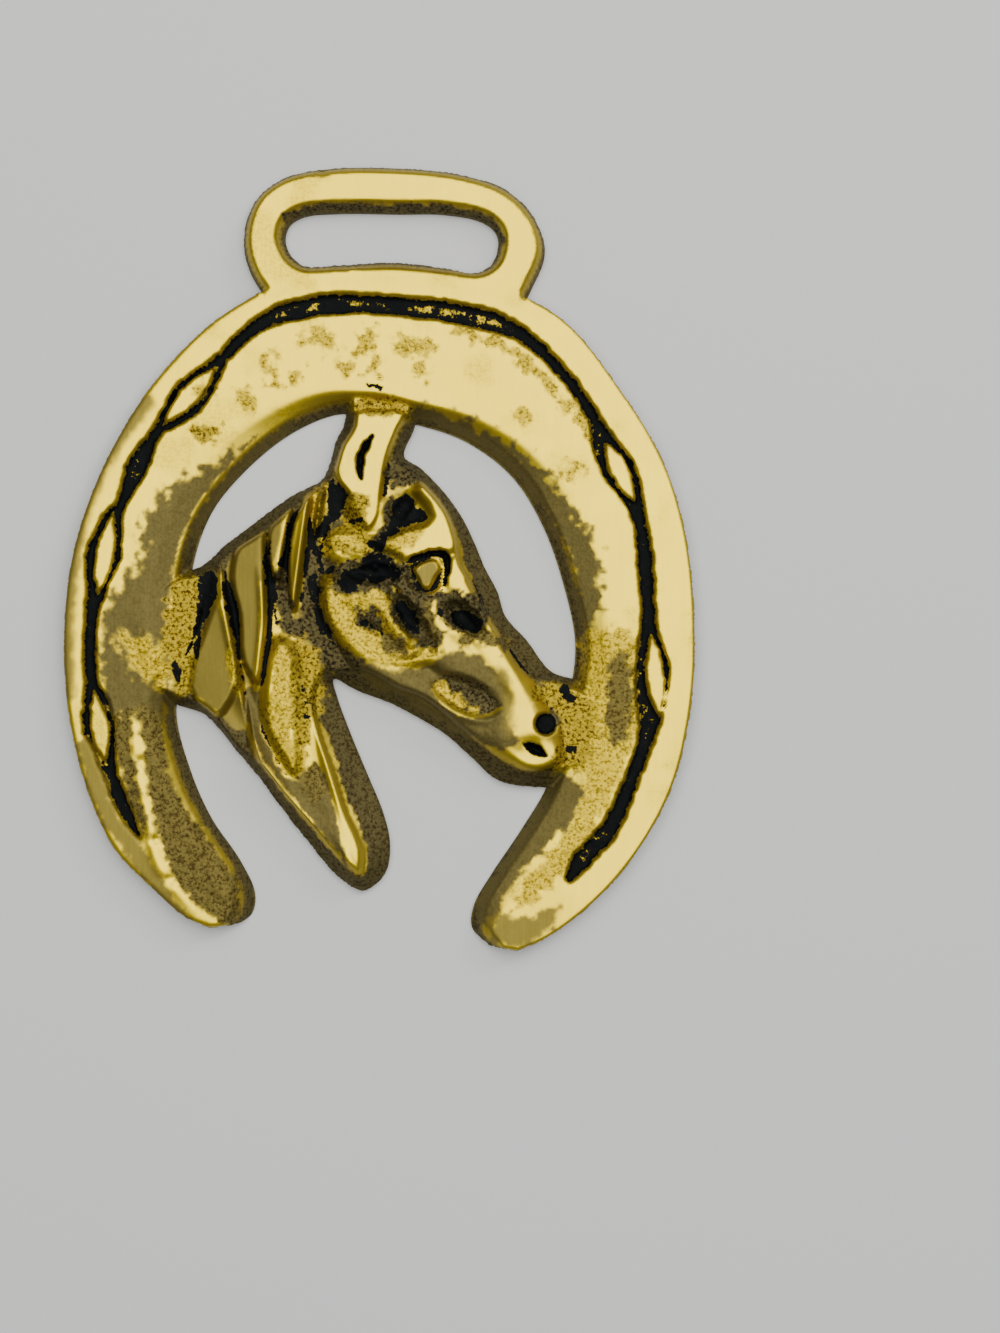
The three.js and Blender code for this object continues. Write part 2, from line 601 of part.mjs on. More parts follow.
// The finished geometry, brought to the stated width and length and centred on its back.
function fitted(geometry) {
  geometry.computeBoundingBox();
  const { min, max } = geometry.boundingBox;
  geometry.translate(-(min.x + max.x) / 2, -(min.y + max.y) / 2, 0);
  geometry.scale(width / (max.x - min.x), length / (max.y - min.y), 1);
  const welded = weld(geometry, finestDetail);
  welded.computeVertexNormals();
  return welded;
}

const brass = new THREE.MeshStandardMaterial({ color: 0xc9a24a, roughness: 0.35, metalness: 1 });
const horseBrass = new THREE.Mesh(fitted(toGeometry(makeBrass())), brass);
horseBrass.name = 'horse_brass';

const group = new THREE.Group();
group.add(horseBrass);

export default group;
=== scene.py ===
"""A cast horse brass lying on its flat back: a horseshoe with a strap loop, a horse's head inside.

The casting is one piece. Its outlines and the strokes of its relief are the same named values,
in millimetres, as the solid it stands for; the relief is then worn, pitted and stained. It is a
sand casting whose face was ground flat on a belt and polished, with dark lacquer left in the
grooves and hollows.
"""

import logging
import math
from collections.abc import Callable
from dataclasses import dataclass, field
from enum import Enum
from typing import ClassVar

import bpy
import numpy as np
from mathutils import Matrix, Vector
from mathutils.geometry import delaunay_2d_cdt
from mathutils.kdtree import KDTree


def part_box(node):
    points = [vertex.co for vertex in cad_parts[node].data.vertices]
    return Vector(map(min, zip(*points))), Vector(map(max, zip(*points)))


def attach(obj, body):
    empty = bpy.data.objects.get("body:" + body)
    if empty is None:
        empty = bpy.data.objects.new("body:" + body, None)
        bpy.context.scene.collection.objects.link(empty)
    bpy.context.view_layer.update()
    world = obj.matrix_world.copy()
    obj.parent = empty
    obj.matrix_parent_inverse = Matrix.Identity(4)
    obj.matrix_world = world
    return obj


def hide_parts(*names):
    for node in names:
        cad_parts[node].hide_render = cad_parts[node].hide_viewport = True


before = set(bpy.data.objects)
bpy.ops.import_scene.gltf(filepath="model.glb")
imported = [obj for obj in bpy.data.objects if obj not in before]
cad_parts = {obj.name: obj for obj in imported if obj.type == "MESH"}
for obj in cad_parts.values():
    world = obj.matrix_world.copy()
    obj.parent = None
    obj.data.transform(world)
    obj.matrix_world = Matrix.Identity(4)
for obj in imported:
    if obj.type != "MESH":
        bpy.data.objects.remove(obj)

Points = list[tuple[float, ...]]
MM = 0.001
# A height in millimetres below everything, where a form doesn't reach.
ABSENT = -9.0
log = logging.getLogger("horse_brass")


# ------------------------------------------------------------------ curves and distances


def smooth_curve(points: Points, per_gap: int, closed: bool = False) -> np.ndarray:
    """Runs a centripetal Catmull-Rom curve through points.

    Args:
        points: the points it passes, each with any number of coordinates.
        per_gap: how many steps lie between one point and the next.
        closed: whether the last point leads back to the first.

    Returns:
        One row per sample; an open curve includes its last point.
    """
    given = np.array(points, dtype=float)
    if closed:
        ahead = np.vstack([given[-1:], given, given[:2]])
    else:
        ahead = np.vstack([2 * given[:1] - given[1:2], given, 2 * given[-1:] - given[-2:-1]])
    p0, p1, p2, p3 = (ahead[i : len(ahead) - 3 + i] for i in range(4))

    def knot(a: np.ndarray, b: np.ndarray) -> np.ndarray:
        """The centripetal knot spacing between two points."""
        return np.sqrt(np.linalg.norm(b - a, axis=1))[:, None]

    d0, d1, d2 = knot(p0, p1), knot(p1, p2), knot(p2, p3)
    start = ((p1 - p0) / d0 - (p2 - p0) / (d0 + d1) + (p2 - p1) / d1) * d1
    end = ((p2 - p1) / d1 - (p3 - p1) / (d1 + d2) + (p3 - p2) / d2) * d1
    t = (np.arange(per_gap) / per_gap)[None, :, None]
    p1, p2, start, end = (v[:, None, :] for v in (p1, p2, start, end))
    cubic = (
        (2 * t**3 - 3 * t**2 + 1) * p1
        + (t**3 - 2 * t**2 + t) * start
        + (3 * t**2 - 2 * t**3) * p2
        + (t**3 - t**2) * end
    )
    rows = cubic.reshape(-1, given.shape[1])
    return rows if closed else np.vstack([rows, given[-1:]])


@dataclass(frozen=True)
class Nearest:
    """How points lie to a line: distance, side and share of the way along it."""

    distance: np.ndarray
    is_left: np.ndarray
    along: np.ndarray


def nearest_on(line: np.ndarray, xy: np.ndarray, closed: bool = False) -> Nearest:
    """Finds how far points are from a line, on which side, and how far along it.

    Args:
        line: the line's points in order, one row each.
        xy: the points to test.
        closed: whether the line's last point joins its first.

    Returns:
        The distance, the side and the place along, for every point.
    """
    ends = np.roll(line, -1, axis=0) if closed else line[1:]
    starts = line if closed else line[:-1]
    best = np.full(len(xy), np.inf)
    left = np.zeros(len(xy), dtype=bool)
    along = np.zeros(len(xy))
    shortest = 1e-12
    for i, (a, b) in enumerate(zip(starts, ends)):
        step = b - a
        to = xy - a
        share = np.clip(to @ step / max(step @ step, shortest), 0, 1)
        off = to - share[:, None] * step
        squared = (off * off).sum(axis=1)
        closer = squared < best
        best[closer] = squared[closer]
        side = step[0] * to[:, 1] - step[1] * to[:, 0]
        left[closer] = side[closer] > 0
        along[closer] = (i + share[closer]) / len(starts)
    return Nearest(np.sqrt(best), left, along)


def is_inside(loop: np.ndarray, xy: np.ndarray) -> np.ndarray:
    """Tells which points lie inside a closed loop.

    Args:
        loop: the loop's points in order, one row each.
        xy: the points to test.

    Returns:
        True for each point inside.
    """
    inside = np.zeros(len(xy), dtype=bool)
    x, y = xy.T
    for (ax, ay), (bx, by) in zip(loop, np.roll(loop, -1, axis=0)):
        if ay != by:
            crosses = (ay > y) != (by > y)
            inside ^= crosses & (x < (bx - ax) * (y - ay) / (by - ay) + ax)
    return inside


def depth_in(loop: np.ndarray, xy: np.ndarray) -> np.ndarray:
    """How far points lie inside a closed loop, and less than 0 outside it."""
    distance = nearest_on(loop, xy, closed=True).distance
    return np.where(is_inside(loop, xy), distance, -distance)


def smooth_max(a: np.ndarray, b: np.ndarray, blend: float) -> np.ndarray:
    """The larger of two heights, with the crease between them filled over a width of blend."""
    near = np.maximum(blend - np.abs(a - b), 0)
    return np.maximum(a, b) + near * near / (4 * blend)


def smooth_min(a: np.ndarray, b: np.ndarray, blend: float) -> np.ndarray:
    """The smaller of two heights, with the crest between them rounded off."""
    return -smooth_max(-a, -b, blend)


def ease(value: np.ndarray) -> np.ndarray:
    """Runs smoothly from 0 to 1 as value does, and holds outside."""
    value = np.clip(value, 0, 1)
    return value * value * (3 - 2 * value)


def swelling(along: np.ndarray, fullness: float, end: float = 0.02) -> np.ndarray:
    """How full a form is along its path: nearly nothing at its ends, and all at its middle."""
    return np.sin(math.pi * (end + (1 - 2 * end) * along)) ** fullness


@dataclass(frozen=True)
class Mottle:
    """Smooth random unevenness.

    It has the width of its lumps in millimetres, a seed, and layers, each half as large and half
    as strong as the one before.
    """

    size: float
    seed: int
    layers: int
    cells: ClassVar[int] = 256
    shift: ClassVar[float] = 1000.0

    def at(self, xy: np.ndarray) -> np.ndarray:
        """Reads the pattern.

        Args:
            xy: the points, in millimetres.

        Returns:
            A value from about -1 to 1 at each point.
        """
        total = np.zeros(len(xy))
        size, strength = self.size, 1.0
        for layer in range(self.layers):
            table = np.random.default_rng(self.seed + layer).uniform(-1, 1, (self.cells, self.cells))
            place = xy / size + self.shift
            cell = np.floor(place).astype(int)
            x, y = ease(place - cell).T
            (west, south), (east, north) = (cell % self.cells).T, ((cell + 1) % self.cells).T
            bottom = table[west, south] * (1 - x) + table[east, south] * x
            top = table[west, north] * (1 - x) + table[east, north] * x
            total += strength * (bottom * (1 - y) + top * y)
            size, strength = size / 2, strength / 2
        return total


GROOVE_EDGE = Mottle(0.7, 5, 2)
SAND_GRAIN = Mottle(0.5, 11, 2)
BELT_WAVES = Mottle(4.5, 31, 2)
CUT_EDGE = Mottle(0.7, 51, 2)
DULL_CLOUDS = Mottle(5.0, 61, 3)
PATCH_EDGE = Mottle(0.8, 71, 4)
GROOVE_LACQUER = Mottle(1.2, 91, 2)


# ------------------------------------------------------------------ the parts of the relief


class Section(Enum):
    """The cross-section of a raised stroke."""

    ROUND = "round"
    RIDGED = "ridged"


@dataclass(frozen=True)
class Stroke:
    """A raised form along a path, in millimetres.

    Its widths are to the left and the right of the path; its crest runs from one height to another.
    """

    path: Points
    left: float
    right: float
    start: float
    end: float
    section: Section = Section.ROUND
    merge: float = 1.1
    fullness: float = 0.4
    steps: ClassVar[int] = 8

    def heights(self, xy: np.ndarray, root: float) -> np.ndarray:
        """Works out the form's surface.

        Args:
            xy: the points, in millimetres.
            root: the height that the form grows from.

        Returns:
            The height at each point, or far below where the form doesn't reach.
        """
        near = nearest_on(smooth_curve(self.path, self.steps), xy)
        swell = swelling(near.along, self.fullness)
        half = np.where(near.is_left, self.left, self.right) * swell
        s = np.clip(near.distance / half, 0, 1)
        rise = (self.start + (self.end - self.start) * near.along - root) * swell
        shape = np.sqrt(1 - s * s) if self.section is Section.ROUND else 1 - s
        return np.where(near.distance < half, root + rise * shape, ABSENT)


@dataclass(frozen=True)
class Mass:
    """A rounded mass, half an ellipsoid: its centre, half sizes, turn in degrees and height."""

    at: tuple[float, float]
    along: float
    across: float
    turn: float
    top: float
    merge: float = 1.6

    def heights(self, xy: np.ndarray, root: float) -> np.ndarray:
        """Works out the mass's surface.

        Args:
            xy: the points, in millimetres.
            root: the height that the mass grows from.

        Returns:
            The height at each point, or far below where the mass doesn't reach.
        """
        angle = math.radians(self.turn)
        x, y = (xy - np.array(self.at)).T
        u = (x * math.cos(angle) + y * math.sin(angle)) / self.along
        v = (y * math.cos(angle) - x * math.sin(angle)) / self.across
        rest = 1 - u * u - v * v
        return np.where(rest > 0, root + (self.top - root) * np.sqrt(np.maximum(rest, 0)), ABSENT)


@dataclass(frozen=True)
class Facet:
    """A flat place on the relief: its corners, its height at their middle and its two slopes."""

    corners: Points
    z: float
    slope_x: float = 0.0
    slope_y: float = 0.0
    soft: float = 0.45
    steps: ClassVar[int] = 3

    def lay(self, z: np.ndarray, xy: np.ndarray) -> np.ndarray:
        """Works the facet into a surface.

        Args:
            z: the surface's height at each point.
            xy: the points, in millimetres.

        Returns:
            The heights with the facet in them.
        """
        edge = smooth_curve(self.corners, self.steps, closed=True)
        x, y = (xy - edge.mean(axis=0)).T
        plane = self.z + self.slope_x * x + self.slope_y * y
        return z + (plane - z) * ease(0.5 + 0.5 * depth_in(edge, xy) / self.soft)


@dataclass(frozen=True)
class Cut:
    """A cut made with a pointed or a round tool.

    It has its width at cut_top, and its point runs at point_z, rising out at both ends. stain
    says how dark its bottom is.
    """

    path: Points
    wide: float
    point_z: float
    stain: float = 1.0
    ragged: float = 0.13
    floor: float = 0.0
    cut_top: float = 4.4
    fullness: float = 0.5
    # Half the width that the tool leaves, as a share of its own.
    worn_half: ClassVar[float] = 0.62
    sharpness: ClassVar[float] = 1.6
    steps: ClassVar[int] = 8

    def depth(self, xy: np.ndarray) -> tuple[np.ndarray, np.ndarray]:
        """Works out where the cut's surface runs.

        Args:
            xy: the points, in millimetres.

        Returns:
            The cut's height at each point, and how far in the cut the point is, from 0 to 1.
        """
        near = nearest_on(smooth_curve(self.path, self.steps), xy)
        swell = swelling(near.along, self.fullness)
        tip = self.cut_top + (self.point_z - self.cut_top) * swell
        half = self.worn_half * self.wide * swell
        slope = (self.cut_top - self.point_z) / (self.worn_half * self.wide)
        distance = np.maximum(near.distance + self.ragged * CUT_EDGE.at(xy), 0)
        within = ease(self.sharpness * (1 - distance / half))
        return tip + np.maximum(distance - self.floor, 0) * slope, within


@dataclass(frozen=True)
class Touch:
    """A low ridge, or where lift is negative a dent, along a path; all in millimetres."""

    path: Points
    half: float
    lift: float
    steps: ClassVar[int] = 6

    def change(self, xy: np.ndarray) -> np.ndarray:
        """Works out what the touch does.

        Args:
            xy: the points, in millimetres.

        Returns:
            How much it raises the surface at each point.
        """
        distance, fade = np.linalg.norm(xy - np.array(self.path[0]), axis=1), 1.0
        if len(self.path) > 1:
            near = nearest_on(smooth_curve(self.path, self.steps), xy)
            distance, fade = near.distance, swelling(near.along, 0.5, 0.04)
        return self.lift * fade * np.exp(-((distance / self.half) ** 2))


class Finish(Enum):
    """What a patch of the surface is like."""

    TARNISH = "tarnish"
    STAIN = "stain"
    GRAIN = "grain"


class Look(Enum):
    """A state of the surface: how tarnished, how stained and how rough it is, from 0 to 1."""

    POLISHED = (0.0, 0.0, 0.0)
    GOLDEN = (0.8, 0.0, 0.05)
    SATIN = (0.95, 0.0, 0.25)
    FROSTED = (0.05, 0.0, 0.75)
    PITTED = (0.12, 0.15, 0.8)
    SPECKLED = (0.35, 0.22, 1.0)
    BROWN = (0.9, 0.12, 0.85)
    SCALED = (1.0, 0.3, 1.0)
    LACQUERED = (0.6, 0.62, 0.6)
    # The walls and the back are as cast: dull and a little rough.
    AS_CAST = (1.0, 0.24, 0.8)

    def of(self, finish: Finish) -> float:
        """The look's strength of one finish."""
        return self.value[list(Finish).index(finish)]


@dataclass(frozen=True)
class Patch:
    """A place with a look of its own, in millimetres.

    It is a strip of the given half width along a path, or where half is 0 the area inside it.
    """

    look: Look
    path: Points
    half: float = 0.0
    soft: float = 0.35
    ragged: float = 0.3
    strip_steps: ClassVar[int] = 5
    area_steps: ClassVar[int] = 3

    def cover(self, xy: np.ndarray) -> np.ndarray:
        """Works out where the patch lies.

        Args:
            xy: the points, in millimetres.

        Returns:
            How strongly the patch covers each point, from 0 to 1.
        """
        corners = np.array(self.path, dtype=float)
        reach = self.half + self.soft + 2 * self.ragged
        close = ((xy > corners.min(axis=0) - reach) & (xy < corners.max(axis=0) + reach)).all(axis=1)
        xy = xy[close]
        if len(corners) == 1:
            distance = np.linalg.norm(xy - corners[0], axis=1) - self.half
        elif self.half > 0:
            distance = nearest_on(smooth_curve(self.path, self.strip_steps), xy).distance - self.half
        else:
            distance = -depth_in(smooth_curve(self.path, self.area_steps, closed=True), xy)
        cover = np.zeros(len(close))
        cover[close] = ease(0.5 - (distance + self.ragged * PATCH_EDGE.at(xy)) / self.soft)
        return cover


# ------------------------------------------------------------------ the shoe


@dataclass
class Shoe:
    """The horseshoe: a band from heel to heel, bevelled inside and rounded outside."""

    face_z: float = 3.0
    inner_edge_z: float = 2.1
    foot_z: float = 0.0
    inner_flare: float = 1.4
    inner_blend: float = 0.35
    # The rim's rounding, which wear has made wider on the left than on the right.
    rim_round: float = 0.6
    rim_drop: float = 0.7
    rim_blend: float = 0.3
    left_wear: float = 1.25
    right_wear: float = 0.75
    groove_floor_z: float = 2.0
    groove_wall: float = 0.5
    groove_ragged: float = 0.12
    loop_half: float = 13.6
    steps: int = 6
    groove_steps: int = 8
    # Outermost point, inner front edge and bevel width, from the left heel to the right heel.
    stations: ClassVar[Points] = [
        (-17.0, -40.6, -15.6, -40.4, 0.3), (-19.8, -39.5, -14.2, -39.2, 0.8),
        (-23.8, -36.2, -13.9, -36.8, 1.2), (-27.3, -32.9, -15.6, -33.4, 1.4),
        (-29.8, -28.6, -19.0, -28.8, 1.4), (-31.8, -23.4, -21.5, -23.6, 1.4),
        (-33.2, -17.5, -23.2, -17.5, 1.4), (-33.9, -10.0, -22.2, -11.0, 2.0),
        (-33.5, -2.5, -22.1, -2.5, 3.0), (-32.0, 4.0, -20.2, 4.0, 3.2), (-29.2, 11.0, -16.4, 9.2, 3.0),
        (-24.7, 18.4, -11.8, 13.4, 2.0), (-17.6, 25.6, -7.0, 16.0, 1.2), (-8.0, 30.0, -2.5, 16.6, 0.8),
        (8.0, 30.0, 3.5, 15.7, 0.8), (17.9, 26.4, 9.2, 13.9, 1.2), (25.0, 18.6, 14.6, 10.1, 2.0),
        (29.9, 11.0, 18.3, 4.7, 3.2), (32.6, 3.0, 20.9, -1.8, 3.4), (33.9, -7.5, 22.5, -8.5, 2.4),
        (33.7, -15.5, 21.9, -15.5, 2.4), (32.2, -23.2, 20.2, -23.6, 3.2), (29.6, -29.0, 17.5, -28.8, 3.6),
        (26.0, -34.2, 14.3, -34.0, 3.2), (22.0, -38.2, 12.6, -37.4, 2.0), (18.8, -40.5, 12.5, -39.8, 1.0),
        (16.0, -41.8, 14.4, -41.6, 0.3),
    ]
    # The fullering groove: points along its middle, and its width there.
    right_groove: ClassVar[Points] = [
        (0, 26.8, 2.4), (5.5, 26.4, 2.6), (10.5, 25.6, 2.6), (14, 24.2, 1.9), (18.7, 20.1, 1.6),
        (22.2, 15.4, 1.7), (23.3, 12.9, 3), (25, 10, 3.8), (26.4, 7.6, 2.8), (27.5, 4.6, 1.8),
        (28.2, 0.4, 2), (28.8, -6, 1.9), (29, -8.4, 3), (29.4, -11.2, 4), (29.3, -14.6, 3.4),
        (29.3, -17, 2.6), (28.6, -20, 1.8), (27.2, -24, 2), (25.6, -28, 2.3), (22.5, -31.9, 2.4),
        (21.4, -33.7, 1.4),
    ]
    left_groove: ClassVar[Points] = [
        (0, 26.8, 2.4), (-5, 26.8, 2.5), (-10, 26, 2.6), (-14, 24.4, 2), (-17.8, 20.7, 1.6),
        (-19.2, 18.9, 2.6), (-21.3, 16.2, 4), (-23.4, 13.8, 2.6), (-24.9, 12.1, 1.5), (-26.6, 8.6, 2.6),
        (-28.2, 4.6, 1.5), (-29.2, 2.4, 2.6), (-29.9, -1, 4), (-30.5, -4.2, 2.6), (-31, -9, 1.6),
        (-30.7, -14.8, 1.8), (-30.1, -16.8, 3), (-29.7, -19.4, 3.8), (-29, -22, 2.8), (-28.1, -25, 1.8),
        (-26.4, -28.6, 1.9), (-24.5, -31.8, 0.3),
    ]
    # Nail heads left standing in the groove: two ends and a width.
    nails: ClassVar[Points] = [
        (23.6, 12.7, 26.6, 7.2, 1.7), (29.2, -7.8, 30.3, -15.6, 1.6), (-18.9, 19.2, -23.7, 13.5, 1.8),
        (-29.2, 3.0, -30.3, -4.9, 1.7), (-30.3, -16.2, -28.9, -22.9, 1.6),
    ]

    def __post_init__(self) -> None:
        """Works out the edges from the stations."""
        outer = smooth_curve([s[:2] for s in self.stations], self.steps)
        inner = smooth_curve([s[2:4] for s in self.stations], self.steps)
        across = outer - inner
        foot = inner - across * (self.inner_flare / np.linalg.norm(across, axis=1))[:, None]
        self.outer = outer
        self.inner = np.vstack([outer[:1], inner, outer[-1:]])
        bevels = smooth_curve([(i, s[4]) for i, s in enumerate(self.stations)], self.steps)[:, 1]
        self.bevels = np.concatenate([[self.stations[0][4]], bevels, [self.stations[-1][4]]])
        self.front = np.vstack([outer, inner[::-1]])
        self.back = np.vstack([outer, foot[::-1]])

    def inner_distance(self, xy: np.ndarray) -> tuple[np.ndarray, np.ndarray]:
        """Measures points against the inner front edge.

        Args:
            xy: the points, in millimetres.

        Returns:
            How far each point lies on the face's side of the edge, and the bevel's width beside it.
        """
        near = nearest_on(self.inner, xy)
        bevel = np.interp(near.along, np.linspace(0, 1, len(self.bevels)), self.bevels)
        return np.where(is_inside(self.front, xy), near.distance, -near.distance), bevel

    def groove_share(self, xy: np.ndarray) -> np.ndarray:
        """Works out the fullering groove, less the nail heads that stand in it.

        Args:
            xy: the points, in millimetres.

        Returns:
            How deep in the groove each point lies: 0 on the face, 1 on the floor.
        """
        inside = np.full(len(xy), ABSENT)
        for groove in (self.left_groove, self.right_groove):
            line = smooth_curve([g[:2] for g in groove], self.groove_steps)
            widths = smooth_curve([(i, g[2]) for i, g in enumerate(groove)], self.groove_steps)[:, 1]
            near = nearest_on(line, xy)
            half = np.interp(near.along, np.linspace(0, 1, len(widths)), widths) / 2
            inside = np.maximum(inside, half - near.distance)
        for x0, y0, x1, y1, wide in self.nails:
            axis = np.array([x1 - x0, y1 - y0])
            length = np.linalg.norm(axis)
            off = xy - np.array([x0 + x1, y0 + y1]) / 2
            u = np.abs(off @ axis) / length / (length / 2)
            v = np.abs(off[:, 0] * axis[1] - off[:, 1] * axis[0]) / length
            inside = np.minimum(inside, v - wide / 2 * (1 - u * u))
        return ease((inside + self.groove_ragged * GROOVE_EDGE.at(xy)) / self.groove_wall)

    def free_rims(self) -> list[np.ndarray]:
        """The outer edge to the left and the right of where the loop stands on it."""
        x, y = self.outer.T
        return [self.outer[(s * x > self.loop_half) | (y < 0) & (s * x > 0)] for s in (-1, 1)]

    def heights(self, xy: np.ndarray) -> np.ndarray:
        """Works out the shoe's surface.

        Args:
            xy: points inside the shoe's back outline, in millimetres.

        Returns:
            The height at each point.
        """
        inner, bevel = self.inner_distance(xy)
        rise = self.inner_edge_z + (self.face_z - self.inner_edge_z) * inner / bevel
        wall = self.inner_edge_z + (self.inner_edge_z - self.foot_z) * inner / self.inner_flare
        face = np.full(len(xy), self.face_z)
        inside = smooth_min(np.where(inner > 0, rise, wall), face, self.inner_blend)
        rim = np.minimum.reduce([nearest_on(side, xy).distance for side in self.free_rims()])
        worn = self.rim_round * np.where(xy[:, 0] < 0, self.left_wear, self.right_wear)
        bend = 1 - np.clip(rim / worn, 0, 1)
        outside = self.face_z - self.rim_drop * (1 - np.sqrt(1 - bend * bend))
        return smooth_min(inside, outside, self.rim_blend)


# ------------------------------------------------------------------ the strap loop


@dataclass
class StrapLoop:
    """The loop at the toe that a strap passes through."""

    face_z: float = 2.8
    edge_drop: float = 0.3
    edge_round: float = 0.4
    foot_z: float = 0.8
    outer_flare: float = 0.7
    slot_flare: float = 0.8
    steps: int = 6
    # Outer front edge and the slot's front edge, round the loop.
    stations: ClassVar[Points] = [
        (0.0, 27.5, 0.0, 30.9), (-7.0, 27.5, -6.5, 30.4), (-12.5, 27.6, -10.0, 30.3),
        (-14.4, 29.4, -11.8, 31.5), (-15.7, 33.2, -12.7, 33.6), (-14.7, 37.4, -12.2, 35.7),
        (-12.0, 39.7, -10.4, 37.0), (-7.0, 40.9, -6.5, 37.6), (0.0, 41.2, 0.0, 37.8),
        (6.5, 40.8, 5.5, 37.9), (11.4, 39.4, 9.8, 37.1), (14.2, 36.9, 11.5, 35.7), (15.5, 33.6, 11.9, 34.0),
        (14.5, 30.3, 11.2, 31.6), (12.8, 27.6, 9.4, 30.4), (7.0, 27.5, 5.5, 30.6),
    ]

    def __post_init__(self) -> None:
        """Works out the edges from the stations."""
        self.outer = smooth_curve([s[:2] for s in self.stations], self.steps, closed=True)
        self.slot = smooth_curve([s[2:4] for s in self.stations], self.steps, closed=True)
        across = self.outer - self.slot
        across /= np.linalg.norm(across, axis=1)[:, None]
        self.back = self.outer + across * self.outer_flare
        self.slot_back = self.slot - across * self.slot_flare

    def holds(self, xy: np.ndarray) -> np.ndarray:
        """Tells which points lie over the loop's metal."""
        return is_inside(self.back, xy) & ~is_inside(self.slot_back, xy)

    def heights(self, xy: np.ndarray) -> np.ndarray:
        """Works out the loop's surface.

        Args:
            xy: points over the loop's metal, in millimetres.

        Returns:
            The height at each point.
        """
        z = np.full(len(xy), self.face_z)
        for edge, flare, sign in ((self.outer, self.outer_flare, 1), (self.slot, self.slot_flare, -1)):
            within = depth_in(edge, xy) * sign
            bend = 1 - np.clip(within / self.edge_round, 0, 1)
            lip = self.face_z - self.edge_drop
            face = self.face_z - self.edge_drop * bend * bend
            wall = lip + (lip - self.foot_z) * within / flare
            z = np.minimum(z, np.where(within > 0, face, np.maximum(wall, self.foot_z)))
        return z


# ------------------------------------------------------------------ the horse's head


